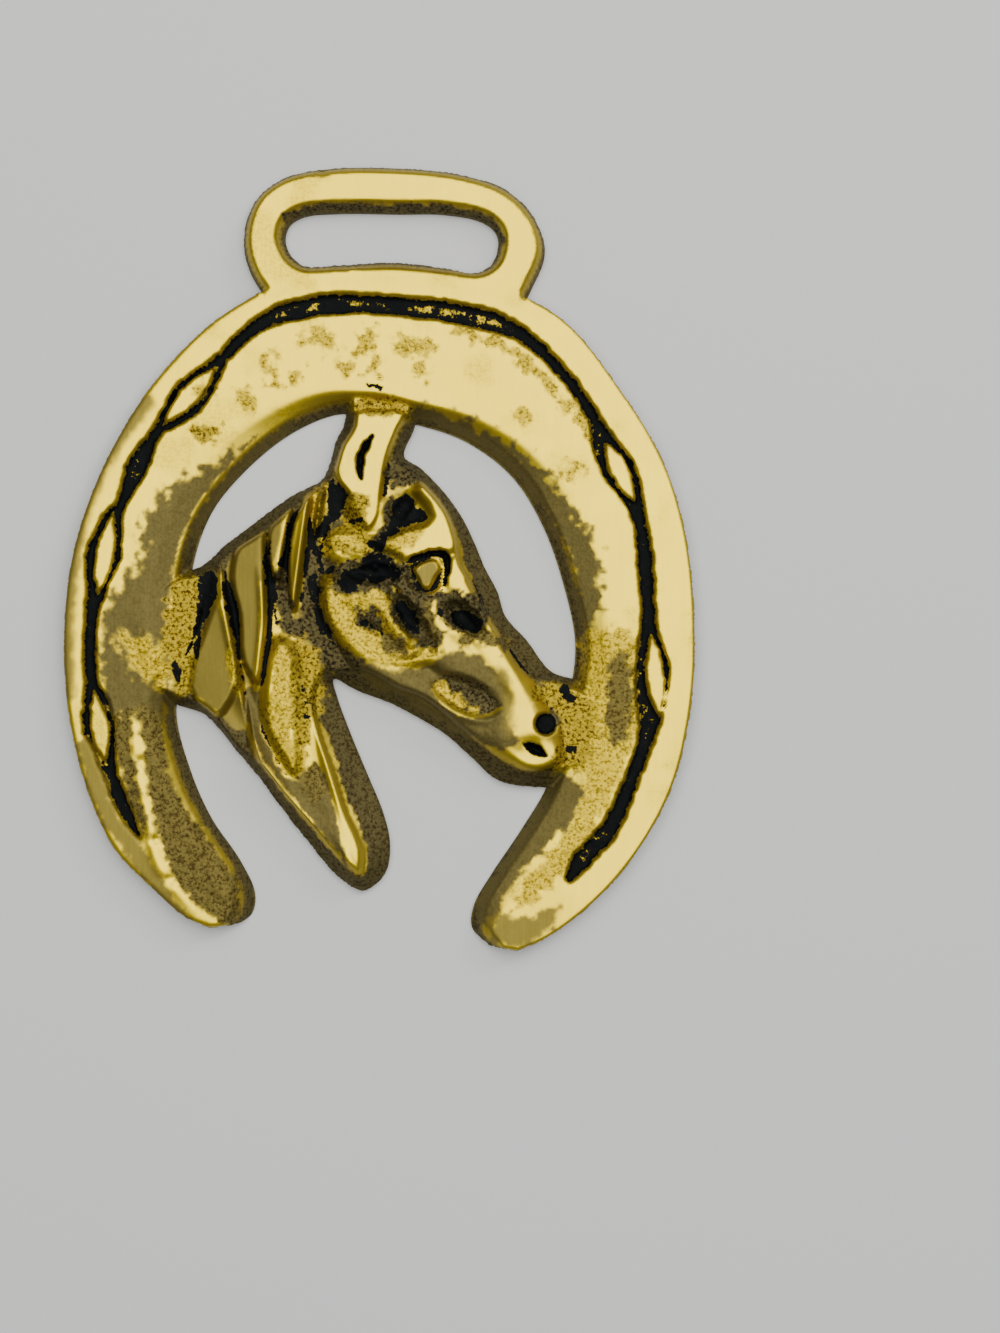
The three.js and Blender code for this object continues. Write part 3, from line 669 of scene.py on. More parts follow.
@dataclass
class Head:
    """The head, neck and mane in profile: a plate with a sloping wall, and the forms raised on it."""

    skirt_z: float = 0.9
    edge_z: float = 2.5
    root_z: float = 1.2
    edge_round: float = 0.55
    ground_z: float = 4.6
    ground_blend: float = 0.5
    steps: int = 5
    ear_z: float = 4.2
    ear_round: float = 0.5
    ear_steps: int = 6
    eye_z: float = 4.7
    eye_drop: float = 0.5
    eye_round: float = 0.35
    eye_tilt: float = 0.12
    eye_steps: int = 3
    cut_blend: float = 0.15
    hollow_wall: float = 0.6
    # The front edge of the relief and the back edge of its wall, clockwise from the ear's tip.
    stations: ClassVar[Points] = [
        (1.7, 18, 2.6, 18), (2, 14.8, 2.9, 14.4), (0.7, 10.6, 1.8, 10.9), (2.4, 9.3, 3.6, 9.7),
        (4.5, 7.5, 6, 7.5), (6.8, 4.8, 8.3, 4.6), (7.9, 2, 9.9, 1.6), (8.5, -0.5, 11, -0.8),
        (9.9, -2.8, 12.5, -3.4), (11.3, -5.5, 13.4, -5.9), (13.5, -8.7, 15.8, -8.4), (16, -12, 18.6, -11.7),
        (20.4, -13.4, 21.6, -12.6), (24.2, -15.4, 24.9, -14.6), (24, -18.8, 24.9, -19),
        (21.6, -21.4, 22.2, -22.6), (19.5, -21.9, 19.6, -24), (17, -22.6, 16.6, -24.2),
        (14, -22, 13.2, -23.6), (11.5, -20, 10.6, -21.5), (8.5, -17.6, 7.4, -18.9), (5, -15.1, 3.8, -16.9),
        (2, -14, 1.4, -15.8), (-1.5, -12.4, -2.2, -14.6), (-5.8, -12.6, -4.9, -13.4),
        (-6.7, -15.6, -4.4, -15.4), (-6, -19, -3.1, -18.6), (-4.4, -23, -1, -23.2),
        (-2.7, -27.6, 1.1, -27.8), (-1, -31, 1.9, -31), (-0.2, -33.4, 1.5, -34.2),
        (-1.2, -34.7, -0.8, -36.1), (-3.2, -32.9, -3.4, -34.8), (-6.1, -29.6, -6.8, -31.2),
        (-9, -26.5, -9.8, -27.7), (-11.9, -23.2, -12.6, -24.2), (-14.5, -21, -15.1, -21.5),
        (-18.1, -17.1, -18.6, -17.8), (-20.7, -15.9, -21.4, -16.9), (-24.6, -14, -25, -14.8),
        (-24.8, -8, -25.2, -8), (-22.6, -4, -23, -3.4), (-18.7, -2.6, -19.3, -1.6),
        (-16.6, -0.5, -17.3, 0.4), (-12.7, 2.2, -13.2, 3.8), (-9.5, 5.1, -9.9, 6.3), (-6.6, 7.2, -7, 8),
        (-5.4, 9.4, -6.2, 9.7), (-4.8, 11.5, -5.7, 11.9), (-3.6, 13.8, -4.7, 14.4), (-3.4, 18, -4.4, 18),
    ]
    ear: ClassVar[Points] = [
        (-3.4, 15.2), (-4.9, 11.5), (-5.4, 9.3), (-5.1, 7.8), (-3.8, 6.2), (-3, 4.4), (-1.6, 2.6),
        (-0.5, 3.8), (-0.1, 7.4), (0.3, 10.4), (1.3, 13.4), (2, 15.2),
    ]
    strokes: ClassVar[list[Stroke]] = [
        Stroke([(-11.5, -3), (-9.5, -13), (-6.4, -23.5), (-2, -33.5)], 5, 4.6, 3.8, 3.2),
        Stroke([(-7.4, -11.5), (-5.9, -19), (-3.4, -26), (-0.7, -34)], 1.4, 3.2, 3.7, 3.4, Section.RIDGED),
        Stroke([(-13.8, -16), (-12, -22.4), (-7.2, -28), (-1.6, -34.4)], 3.4, 1.4, 4.4, 3.4,
            Section.RIDGED),
        Stroke([(-6.5, 7.6), (-7, 4.4), (-7.2, 1)], 0.9, 0.9, 4, 3.8, Section.RIDGED, 0.4),
        Stroke([(-7.8, 7.4), (-8.6, 2), (-8.9, -2), (-9.3, -7.4)], 1, 1.3, 4.5, 4.1, Section.RIDGED, 0.4),
        Stroke([(-10, 6), (-10.8, 1), (-11.8, -4)], 1.1, 1.4, 4.4, 4.1, Section.RIDGED, 0.4),
        Stroke([(-13, 4), (-12.7, -3), (-12.3, -9), (-13, -17)], 1.4, 3.6, 4.7, 3.9, Section.RIDGED, 0.4),
        Stroke([(-17.4, -1), (-16.4, -7.5), (-15.2, -12.5), (-13.8, -19.4)], 1.3, 4.8, 4.3, 3.6,
            Section.RIDGED, 0.4),
        Stroke([(0.5, 9.5), (2.4, 2), (7.2, -8), (14.6, -17.4)], 5.6, 6.4, 4.2, 4.2),
        Stroke([(-5.2, -6), (-1.6, -11), (6, -14.8), (12.4, -19), (17.6, -21.8)], 3, 2, 4.3, 3.9),
        Stroke([(3.4, -8), (8.4, -11.2), (14.6, -17)], 3, 2.6, 4.9, 4.6),
        Stroke([(6.6, 1.4), (8.8, -3.4), (11.6, -8.4), (16, -15.6)], 1.6, 2.6, 4.8, 4.5),
        Stroke([(2.6, 9.2), (5.4, 6), (7, 2.4), (8.2, -1)], 1.6, 3, 4.3, 4.8),
        Stroke([(1.8, -0.8), (3.4, 0.7), (6.2, 0.8), (7.6, -2)], 0.9, 0.9, 5.3, 5.1),
        Stroke([(-5.8, 1.4), (-2, 1), (2.6, 1.6)], 1.2, 1.4, 4.4, 4.9, merge=2.2),
    ]
    masses: ClassVar[list[Mass]] = [
        Mass((-0.4, -5.6), 6.6, 5.6, 118, 5.3),
        Mass((15.6, -18.2), 5, 3.9, -36, 4.6),
        Mass((17.2, -20.9), 2.5, 1.7, 10, 3.9),
    ]
    facets: ClassVar[list[Facet]] = [
        # the brow and the forehead, and the small plate in front of the eye
        Facet([(4.2, 7.7), (5.5, 6.5), (6.8, 4.8), (7.5, 3.4), (7.9, 1.6), (7.4, 0.7), (5, 0.6), (1.5, 0),
            (0.3, 1), (2, 2.5), (5.3, 3.8), (3.2, 6.9)], 4.45),
        Facet([(7.3, -0.3), (7.9, 0.2), (8.5, -0.5), (9.3, -2.2), (7.4, -3.0)], 4.3),
        # the hollow above the brow
        Facet([(0, 1.8), (1.0, 6.2), (2.2, 7.4), (5, 4.4), (2, 3)], 3.3, soft=0.8),
        # the locks of the mane, each tilted
        Facet([(-15.3, 0.6), (-12.9, 2), (-12.8, -2), (-12.4, -8), (-12.7, -14), (-14.4, -12), (-15, -7),
            (-16, -3)], 4.1, 0.18),
        Facet([(-17, -5), (-16.2, -8), (-15.5, -11), (-15, -14.5), (-17.3, -18), (-20, -15), (-18.8, -9)],
            3.7, 0.22),
        Facet([(-8, 6), (-8.5, 2), (-8.9, -3), (-9.2, -6.3), (-9.9, -3), (-9.6, 3)], 4.2, 0.25, soft=0.3),
        Facet([(-10, 4.6), (-10.6, 1), (-11, -3), (-12, -1.4), (-11.9, 3)], 4.0, 0.22, soft=0.3),
        # the raised edge of the cheek, and the chin
        Facet([(-6, -2.6), (-4.6, -3.4), (-3.4, -5.4), (-2.6, -7.8), (-0.4, -9.6), (2.4, -10.6),
            (6.8, -9.8), (5, -11.4), (2, -11.9), (-0.2, -11.5), (-2.6, -10.2), (-4.7, -8.4), (-6, -6.2)],
            4.15, 0.03, 0.04, 0.8),
        Facet([(14.4, -18.6), (17.4, -18.9), (19.4, -19.6), (19.9, -21), (18, -22), (15.6, -21.4),
            (14, -20)], 3.95, 0.02, 0.06, 0.8),
        # the broad flat of the neck, and the ridge down its right side
        Facet([(-11, -9.6), (-9.4, -10), (-8.6, -16), (-8.2, -20.4), (-8.4, -23.6), (-10.2, -21.4),
            (-12, -17.6)], 4.15, 0.04, 0.03, 0.8),
        Facet([(-6.3, -17), (-5.2, -19.4), (-3.8, -23), (-2.6, -27), (-1, -31.4), (-1.2, -34), (-2.3, -33),
            (-3.2, -30.2), (-4.2, -26.4), (-5.4, -22.6)], 3.75, 0.03, 0.04, 0.5),
        # the smooth end of the neck, between its two ridges
        Facet([(-9.2, -25.2), (-6.4, -23.6), (-4, -27), (-2.1, -33), (-4.9, -30.2)], 3.6, 0.1, soft=0.9),
        # the sunk ground between the ear and the eye
        Facet([(-5.6, 2.2), (-2.4, 2.4), (-0.2, 1), (1.6, -0.5), (-1, -1.2), (-5.4, -0.8)], 3.5, soft=1.0),
        # the long hollow beside the muzzle
        Facet([(6, -13.1), (8, -12.6), (10.7, -13.3), (12.9, -15), (12.9, -16.2), (11, -16.6), (8.4, -15.9),
            (6.4, -14.5)], 3.45, soft=0.7),
        # the root of the ear
        Facet([(-3.9, 5.6), (-3, 3.4), (-1.3, 2.3), (0, 3.3), (0.2, 5.6), (-1.8, 6.4)], 3.95, 0, 0.12, 0.9),
        # the bridge of the nose and the side of the muzzle
        Facet([(11.3, -6.6), (13.2, -9.4), (16.4, -13.2), (17.5, -16), (16.2, -18.9), (14.4, -19.4),
            (13.5, -17.2), (13.8, -15), (12.2, -12.6), (10.6, -10)], 4.3, 0.03, soft=1.3),
    ]
    cuts: ClassVar[list[Cut]] = [
        Cut([(-5.4, 7.4), (-6.1, 3), (-6.9, -1.5), (-6.6, -7.6)], 1.3, 2.3),
        Cut([(-9.5, 5), (-9.9, 2), (-10.2, -3.2)], 0.7, 3),
        Cut([(-12, 2.4), (-12.2, -2), (-11.5, -6), (-10.2, -9)], 0.9, 2.8),
        Cut([(-17.2, -2.4), (-16.2, -5.6), (-15.3, -8.8), (-15, -12.4)], 0.9, 2.6),
        Cut([(-18.6, -1.4), (-19.2, -6), (-20.1, -10), (-21.6, -13.6)], 1.5, 2),
        Cut([(-1.5, 12.7), (-2.7, 10.4), (-2.5, 7.8)], 1, 2.9),
        Cut([(1.2, 7.4), (1.6, 4.6), (4.4, 3.6)], 2.2, 3.1, 0.2, 0.35, 0.4),
        Cut([(-4.4, -1.5), (-1.3, -1.8), (2, -2)], 2.3, 3.2, 0.2, 0.4, 0.4),
        Cut([(1.2, -3.4), (3.2, -6.6), (6, -9.8)], 2.1, 3.4, 0.2, 0.45, 0.35),
        Cut([(7, -4.9), (8.8, -6.2), (10.8, -8)], 2.2, 3.1, 0.2, 0.35, 0.35),
        Cut([(7.4, -13.8), (9.5, -14.6), (11.6, -15.5)], 2.1, 3.2, 0.3, 0.3, 0.4),
        Cut([(2.3, -0.8), (4, -0.1), (6, 0.4), (6.9, 0), (7, -1.5), (6.5, -3.8)], 0.9, 3.0),
        Cut([(15.8, -19.5), (17.2, -20.1), (18.5, -20.8)], 1.3, 2.8),
    ]
    # The nostril and the eye's socket: centre, radius, floor and how dark each is.
    hollows: ClassVar[Points] = [(18.2, -17.3, 1.4, 2.6, 1.0), (4.7, -1.9, 2.3, 3.7, 0.45)]
    eye: ClassVar[Points] = [
        (3.4, -1.5), (3.8, -0.9), (5.4, -0.2), (6, -0.4), (6.4, -1.3), (5.9, -2.2), (5.3, -3.4),
        (4.5, -3.4), (3.9, -2.4),
    ]

    def __post_init__(self) -> None:
        """Works out the edges from the stations."""
        self.front = smooth_curve([s[:2] for s in self.stations], self.steps, closed=True)
        self.back = smooth_curve([s[2:4] for s in self.stations], self.steps, closed=True)
        self.ear_edge = smooth_curve(self.ear, self.ear_steps, closed=True)
        self.eye_edge = smooth_curve(self.eye, self.eye_steps, closed=True)

    def forms(self, xy: np.ndarray) -> np.ndarray:
        """Works out the raised forms, before they are cut off at the edge.

        Args:
            xy: the points, in millimetres.

        Returns:
            The height at each point.
        """
        z = np.full(len(xy), self.edge_z)
        for form in [*self.strokes, *self.masses]:
            z = smooth_max(z, form.heights(xy, self.root_z), form.merge)
        z = smooth_min(z, np.full(len(xy), self.ground_z), self.ground_blend)
        for facet in self.facets:
            z = facet.lay(z, xy)
        depth = depth_in(self.ear_edge, xy)
        flat = self.ear_z - self.ear_round * (1 - ease(depth / self.ear_round))
        return np.where(depth > 0, np.maximum(z, flat), z)

    def heights(self, xy: np.ndarray) -> tuple[np.ndarray, np.ndarray]:
        """Works out the head's surface.

        Args:
            xy: points inside the head's back outline, in millimetres.

        Returns:
            The heights, and how deep in a cut each point lies, from 0 to 1.
        """
        from_front = nearest_on(self.front, xy, closed=True).distance
        from_back = nearest_on(self.back, xy, closed=True).distance
        share = from_back / np.maximum(from_back + from_front, 1e-6)
        wall = self.skirt_z + (self.edge_z - self.skirt_z) * share
        bend = 1 - np.clip(from_front / self.edge_round, 0, 1)
        raised = self.edge_z + (self.forms(xy) - self.edge_z) * np.sqrt(1 - bend * bend)
        z = np.where(is_inside(self.front, xy), raised, wall)
        stain = np.zeros(len(xy))
        for cut in self.cuts:
            surface, within = cut.depth(xy)
            reached = (within > 0) & (surface < z)
            z = np.where(reached, smooth_min(z, surface, self.cut_blend), z)
            stain = np.maximum(stain, cut.stain * within * reached)
        for x, y, radius, floor, dark in self.hollows:
            inside = ease((radius - np.linalg.norm(xy - (x, y), axis=1)) / self.hollow_wall)
            z = z + (np.minimum(z, floor) - z) * inside
            stain = np.maximum(stain, dark * inside)
        depth = depth_in(self.eye_edge, xy)
        fall = self.eye_drop * (1 - ease(depth / self.eye_round))
        ball = self.eye_z - fall - self.eye_tilt * (xy[:, 0] - self.eye[0][0])
        return np.where(depth > 0, ball, z), np.where(depth > 0, 0.0, stain)


# ------------------------------------------------------------------ the mesh


@dataclass
class Outline:
    """The edge of the casting seen from above, as closed loops with the metal on their left."""

    spacing: float
    loops: list[np.ndarray] = field(default_factory=list)

    def add(self, loop: np.ndarray) -> None:
        """Keeps a loop, with its points spread evenly along it.

        Args:
            loop: its points in order, one row each.
        """
        closed = np.vstack([loop, loop[:1]])
        length = np.concatenate([[0], np.cumsum(np.linalg.norm(np.diff(closed, axis=0), axis=1))])
        count = max(8, round(length[-1] / self.spacing))
        places = np.arange(count) * length[-1] / count
        self.loops.append(np.stack([np.interp(places, length, closed[:, i]) for i in (0, 1)], axis=1))

    def points(self) -> np.ndarray:
        """All the points of all the loops."""
        return np.vstack(self.loops)

    def row(self, inset: float, kept_apart: float = 0.93) -> np.ndarray:
        """Makes points that follow the loops inside them.

        Args:
            inset: how far inside, in millimetres.
            kept_apart: the share of it that a point has to keep from the whole edge.

        Returns:
            The points, less those that come too near the edge elsewhere or leave the metal.
        """
        found = []
        for loop in self.loops:
            along = np.roll(loop, -1, axis=0) - np.roll(loop, 1, axis=0)
            along /= np.linalg.norm(along, axis=1)[:, None]
            found.append(loop + np.stack([-along[:, 1], along[:, 0]], axis=1) * inset)
        row = np.vstack(found)
        row = row[distances(self.points(), row) > kept_apart * inset]
        return row[self.holds(row)]

    def links(self) -> list[tuple[int, int]]:
        """Which points are joined along the loops."""
        return ring_links([len(loop) for loop in self.loops])

    def holds(self, xy: np.ndarray) -> np.ndarray:
        """Tells which points lie in the metal."""
        return np.logical_xor.reduce([is_inside(loop, xy) for loop in self.loops])


def ring_links(counts: list[int]) -> list[tuple[int, int]]:
    """Joins the points of closed rings.

    Args:
        counts: how many points each ring has, one ring's points after another's.

    Returns:
        The pairs of points that are joined.
    """
    pairs, first = [], 0
    for count in counts:
        pairs += [(first + i, first + (i + 1) % count) for i in range(count)]
        first += count
    return pairs


def triangulate(points: np.ndarray, links: list[tuple[int, int]]) -> tuple[np.ndarray, np.ndarray]:
    """Joins points into triangles that keep the given links.

    Args:
        points: the points, one row each.
        links: pairs of them that must stay joined.

    Returns:
        The points, with any crossings added, and the triangles between them.
    """
    whole_hull, closest = 0, 1e-5
    made = delaunay_2d_cdt([Vector(p) for p in points], links, [], whole_hull, closest, False)
    return np.array([tuple(v) for v in made[0]]), np.array([tuple(f) for f in made[2]])


def fill(
    points: np.ndarray, links: list[tuple[int, int]], holds: Callable[[np.ndarray], np.ndarray]
) -> tuple[np.ndarray, np.ndarray]:
    """Joins points into triangles over the metal alone.

    Args:
        points: the points, one row each.
        links: the pairs of them along the edge of the metal, which lies on their left.
        holds: tells which places lie in the metal.

    Returns:
        The points and the triangles between them.
    """
    points, triangles = triangulate(points, links)
    kept = holds(points[triangles].mean(axis=1))
    # slivers on a straight run of the edge are told by the way they pass along it
    size = len(points)
    sides = triangles * size + np.roll(triangles, -1, axis=1)
    first, second = np.array(links).T
    kept |= np.isin(sides, first * size + second).any(axis=1)
    kept &= ~np.isin(sides, second * size + first).any(axis=1)
    return points, triangles[kept]


def edges_of(triangles: np.ndarray) -> np.ndarray:
    """The directed edges of triangles."""
    return np.vstack([triangles[:, [0, 1]], triangles[:, [1, 2]], triangles[:, [2, 0]]])


def border_of(triangles: np.ndarray) -> np.ndarray:
    """Finds where triangles end.

    Args:
        triangles: three points' numbers in each row.

    Returns:
        The directed edges that only one triangle has.
    """
    edges = edges_of(triangles)
    size = int(edges.max()) + 1
    forward = edges[:, 0] * size + edges[:, 1]
    backward = edges[:, 1] * size + edges[:, 0]
    return edges[~np.isin(forward, backward)]


def relaxed(values: np.ndarray, triangles: np.ndarray, times: int) -> np.ndarray:
    """Averages values with their neighbours' over and over.

    Args:
        values: one for each point.
        triangles: what joins the points.
        times: how often.

    Returns:
        The averaged values.
    """
    links = edges_of(triangles)
    count = np.bincount(links.ravel(), minlength=len(values))
    for _ in range(times):
        total = np.bincount(links[:, 0], values[links[:, 1]], len(values))
        total += np.bincount(links[:, 1], values[links[:, 0]], len(values))
        values = 0.5 * values + 0.5 * total / np.maximum(count, 1)
    return values


def distances(marks: np.ndarray, xy: np.ndarray) -> np.ndarray:
    """Measures how far points are from marks.

    Args:
        marks: the marks, one row each.
        xy: the points.

    Returns:
        Each point's distance from the nearest mark.
    """
    tree = KDTree(len(marks))
    for i, (x, y) in enumerate(marks):
        tree.insert((x, y, 0), i)
    tree.balance()
    return np.array([tree.find((x, y, 0))[2] for x, y in xy])


def honeycomb(low: np.ndarray, high: np.ndarray, gap: float) -> np.ndarray:
    """Lays points in staggered rows over a rectangle, so that near ones make even triangles.

    Args:
        low: the rectangle's lower left corner.
        high: its upper right corner.
        gap: how far apart the points are.

    Returns:
        The points, one row each.
    """
    xs = np.arange(low[0], high[0], gap)
    ys = np.arange(low[1], high[1], gap * math.sqrt(3) / 2)
    x, y = np.meshgrid(xs, ys)
    x = x + gap / 2 * (np.arange(len(ys)) % 2)[:, None]
    return np.stack([x.ravel(), y.ravel()], axis=1)


# ------------------------------------------------------------------ the casting


@dataclass(frozen=True)
class Relief:
    """The casting's surface at points: height, depth in cuts and groove, and which are the head's."""

    z: np.ndarray
    cut: np.ndarray
    groove: np.ndarray
    on_head: np.ndarray


@dataclass(frozen=True)
class Wear:
    """How the casting's shape makes its finish; heights and widths in millimetres."""

    # Below these heights the surface is a wall's, which the wheel never reached.
    head_foot: float = 3.3
    plain_foot: float = 2.25
    foot_blend: float = 0.6
    foot_passes: int = 3
    least_groove: float = 0.1
    # Lacquer lies in what is lower than its surroundings, away from the edge.
    hollow_passes: int = 24
    hollow_depth: float = 0.28
    hollow_above: float = 1.9
    head_margin: float = 1.5
    plain_margin: float = 0.3
    margin_blend: float = 0.6
    # It was rubbed off the crests.
    crest_height: float = 0.12
    crest_above: float = 2.4
    crest_rubbed: float = 0.6
    stain_share: float = 0.7
    cut_stain: float = 0.8
    # What leans was missed by the wheel too, and is also painted darker as shade: the further a slope turns
    # from straight up, the more olive it is drawn.
    lean_tarnish_and_shade: float = 0.55
    lean_from: float = 0.05
    lean_blend: float = 0.15
    lean_passes: int = 2
    # The lacquer in the fullering groove, and how unevenly it lies.
    groove_lacquer: float = 0.46
    groove_unevenness: float = 0.3
    # How rough the dull clouds on the face, the groove, the walls and the stained hollows are.
    cloud_rough: float = 0.25
    groove_rough: float = 0.8
    wall_rough: float = 0.8
    stained_rough: float = 0.6
    # The cast sand grain on what lies above this height, and the faint waves that the belt left.
    grain_height: float = 0.08
    grain_above: float = 1.6
    grain_blend: float = 0.5
    wave_height: float = 0.05

    def finish(
        self, points: np.ndarray, triangles: np.ndarray, relief: Relief, from_edge: np.ndarray
    ) -> dict[Finish, np.ndarray]:
        """Works out the finish that the shape alone gives.

        Args:
            points: the face's points, in millimetres.
            triangles: what joins them.
            relief: the surface over them.
            from_edge: how far each is from the casting's edge.

        Returns:
            The strength of each finish at each point.
        """
        z, groove = relief.z, relief.groove
        hollow = relaxed(z, triangles, self.hollow_passes) - z
        foot = np.where(relief.on_head, self.head_foot, self.plain_foot)
        wall = relaxed(ease((foot - z) / self.foot_blend), triangles, self.foot_passes)
        wall = wall * (groove < self.least_groove)
        margin = np.where(relief.on_head, self.head_margin, self.plain_margin)
        open_ground = ease((from_edge - margin) / self.margin_blend)
        deep = ease(hollow / self.hollow_depth) * (z > self.hollow_above) * open_ground
        stained = np.maximum.reduce([relief.cut, self.groove_stain(points, groove), deep])
        crest = ease(-hollow / self.crest_height) * (z > self.crest_above)
        stained = np.clip(self.stain_share * stained * (1 - self.crest_rubbed * crest), 0, 1)
        patchy = self.cloud_rough * ease(1.3 * DULL_CLOUDS.at(points) - 0.35)
        stain = np.maximum(stained, Look.AS_CAST.of(Finish.STAIN) * wall)
        rough = [patchy, self.groove_rough * groove, self.wall_rough * wall, self.stained_rough * stained]
        return {Finish.TARNISH: wall, Finish.STAIN: stain, Finish.GRAIN: np.maximum.reduce(rough)}

    def groove_stain(self, points: np.ndarray, groove: np.ndarray) -> np.ndarray:
        """The uneven lacquer in the fullering groove."""
        lacquer = self.groove_lacquer + self.groove_unevenness * GROOVE_LACQUER.at(points)
        return groove * np.clip(lacquer, 0, 1)

    def roughened(self, points: np.ndarray, z: np.ndarray, grain: np.ndarray) -> np.ndarray:
        """Adds the cast grain and the belt's waves.

        Args:
            points: the face's points, in millimetres.
            z: the height at each.
            grain: how rough each is, from 0 to 1.

        Returns:
            The uneven heights.
        """
        above = ease((z - self.grain_above) / self.grain_blend)
        z = z + self.grain_height * grain * SAND_GRAIN.at(points) * above
        return z + self.wave_height * BELT_WAVES.at(points)

    def leaning(self, normal_z: np.ndarray, triangles: np.ndarray) -> np.ndarray:
        """How tarnished the surface is for leaning as it does, with painted shade on the slopes."""
        lean = relaxed(1 - normal_z, triangles, self.lean_passes)
        return self.lean_tarnish_and_shade * ease((lean - self.lean_from) / self.lean_blend)


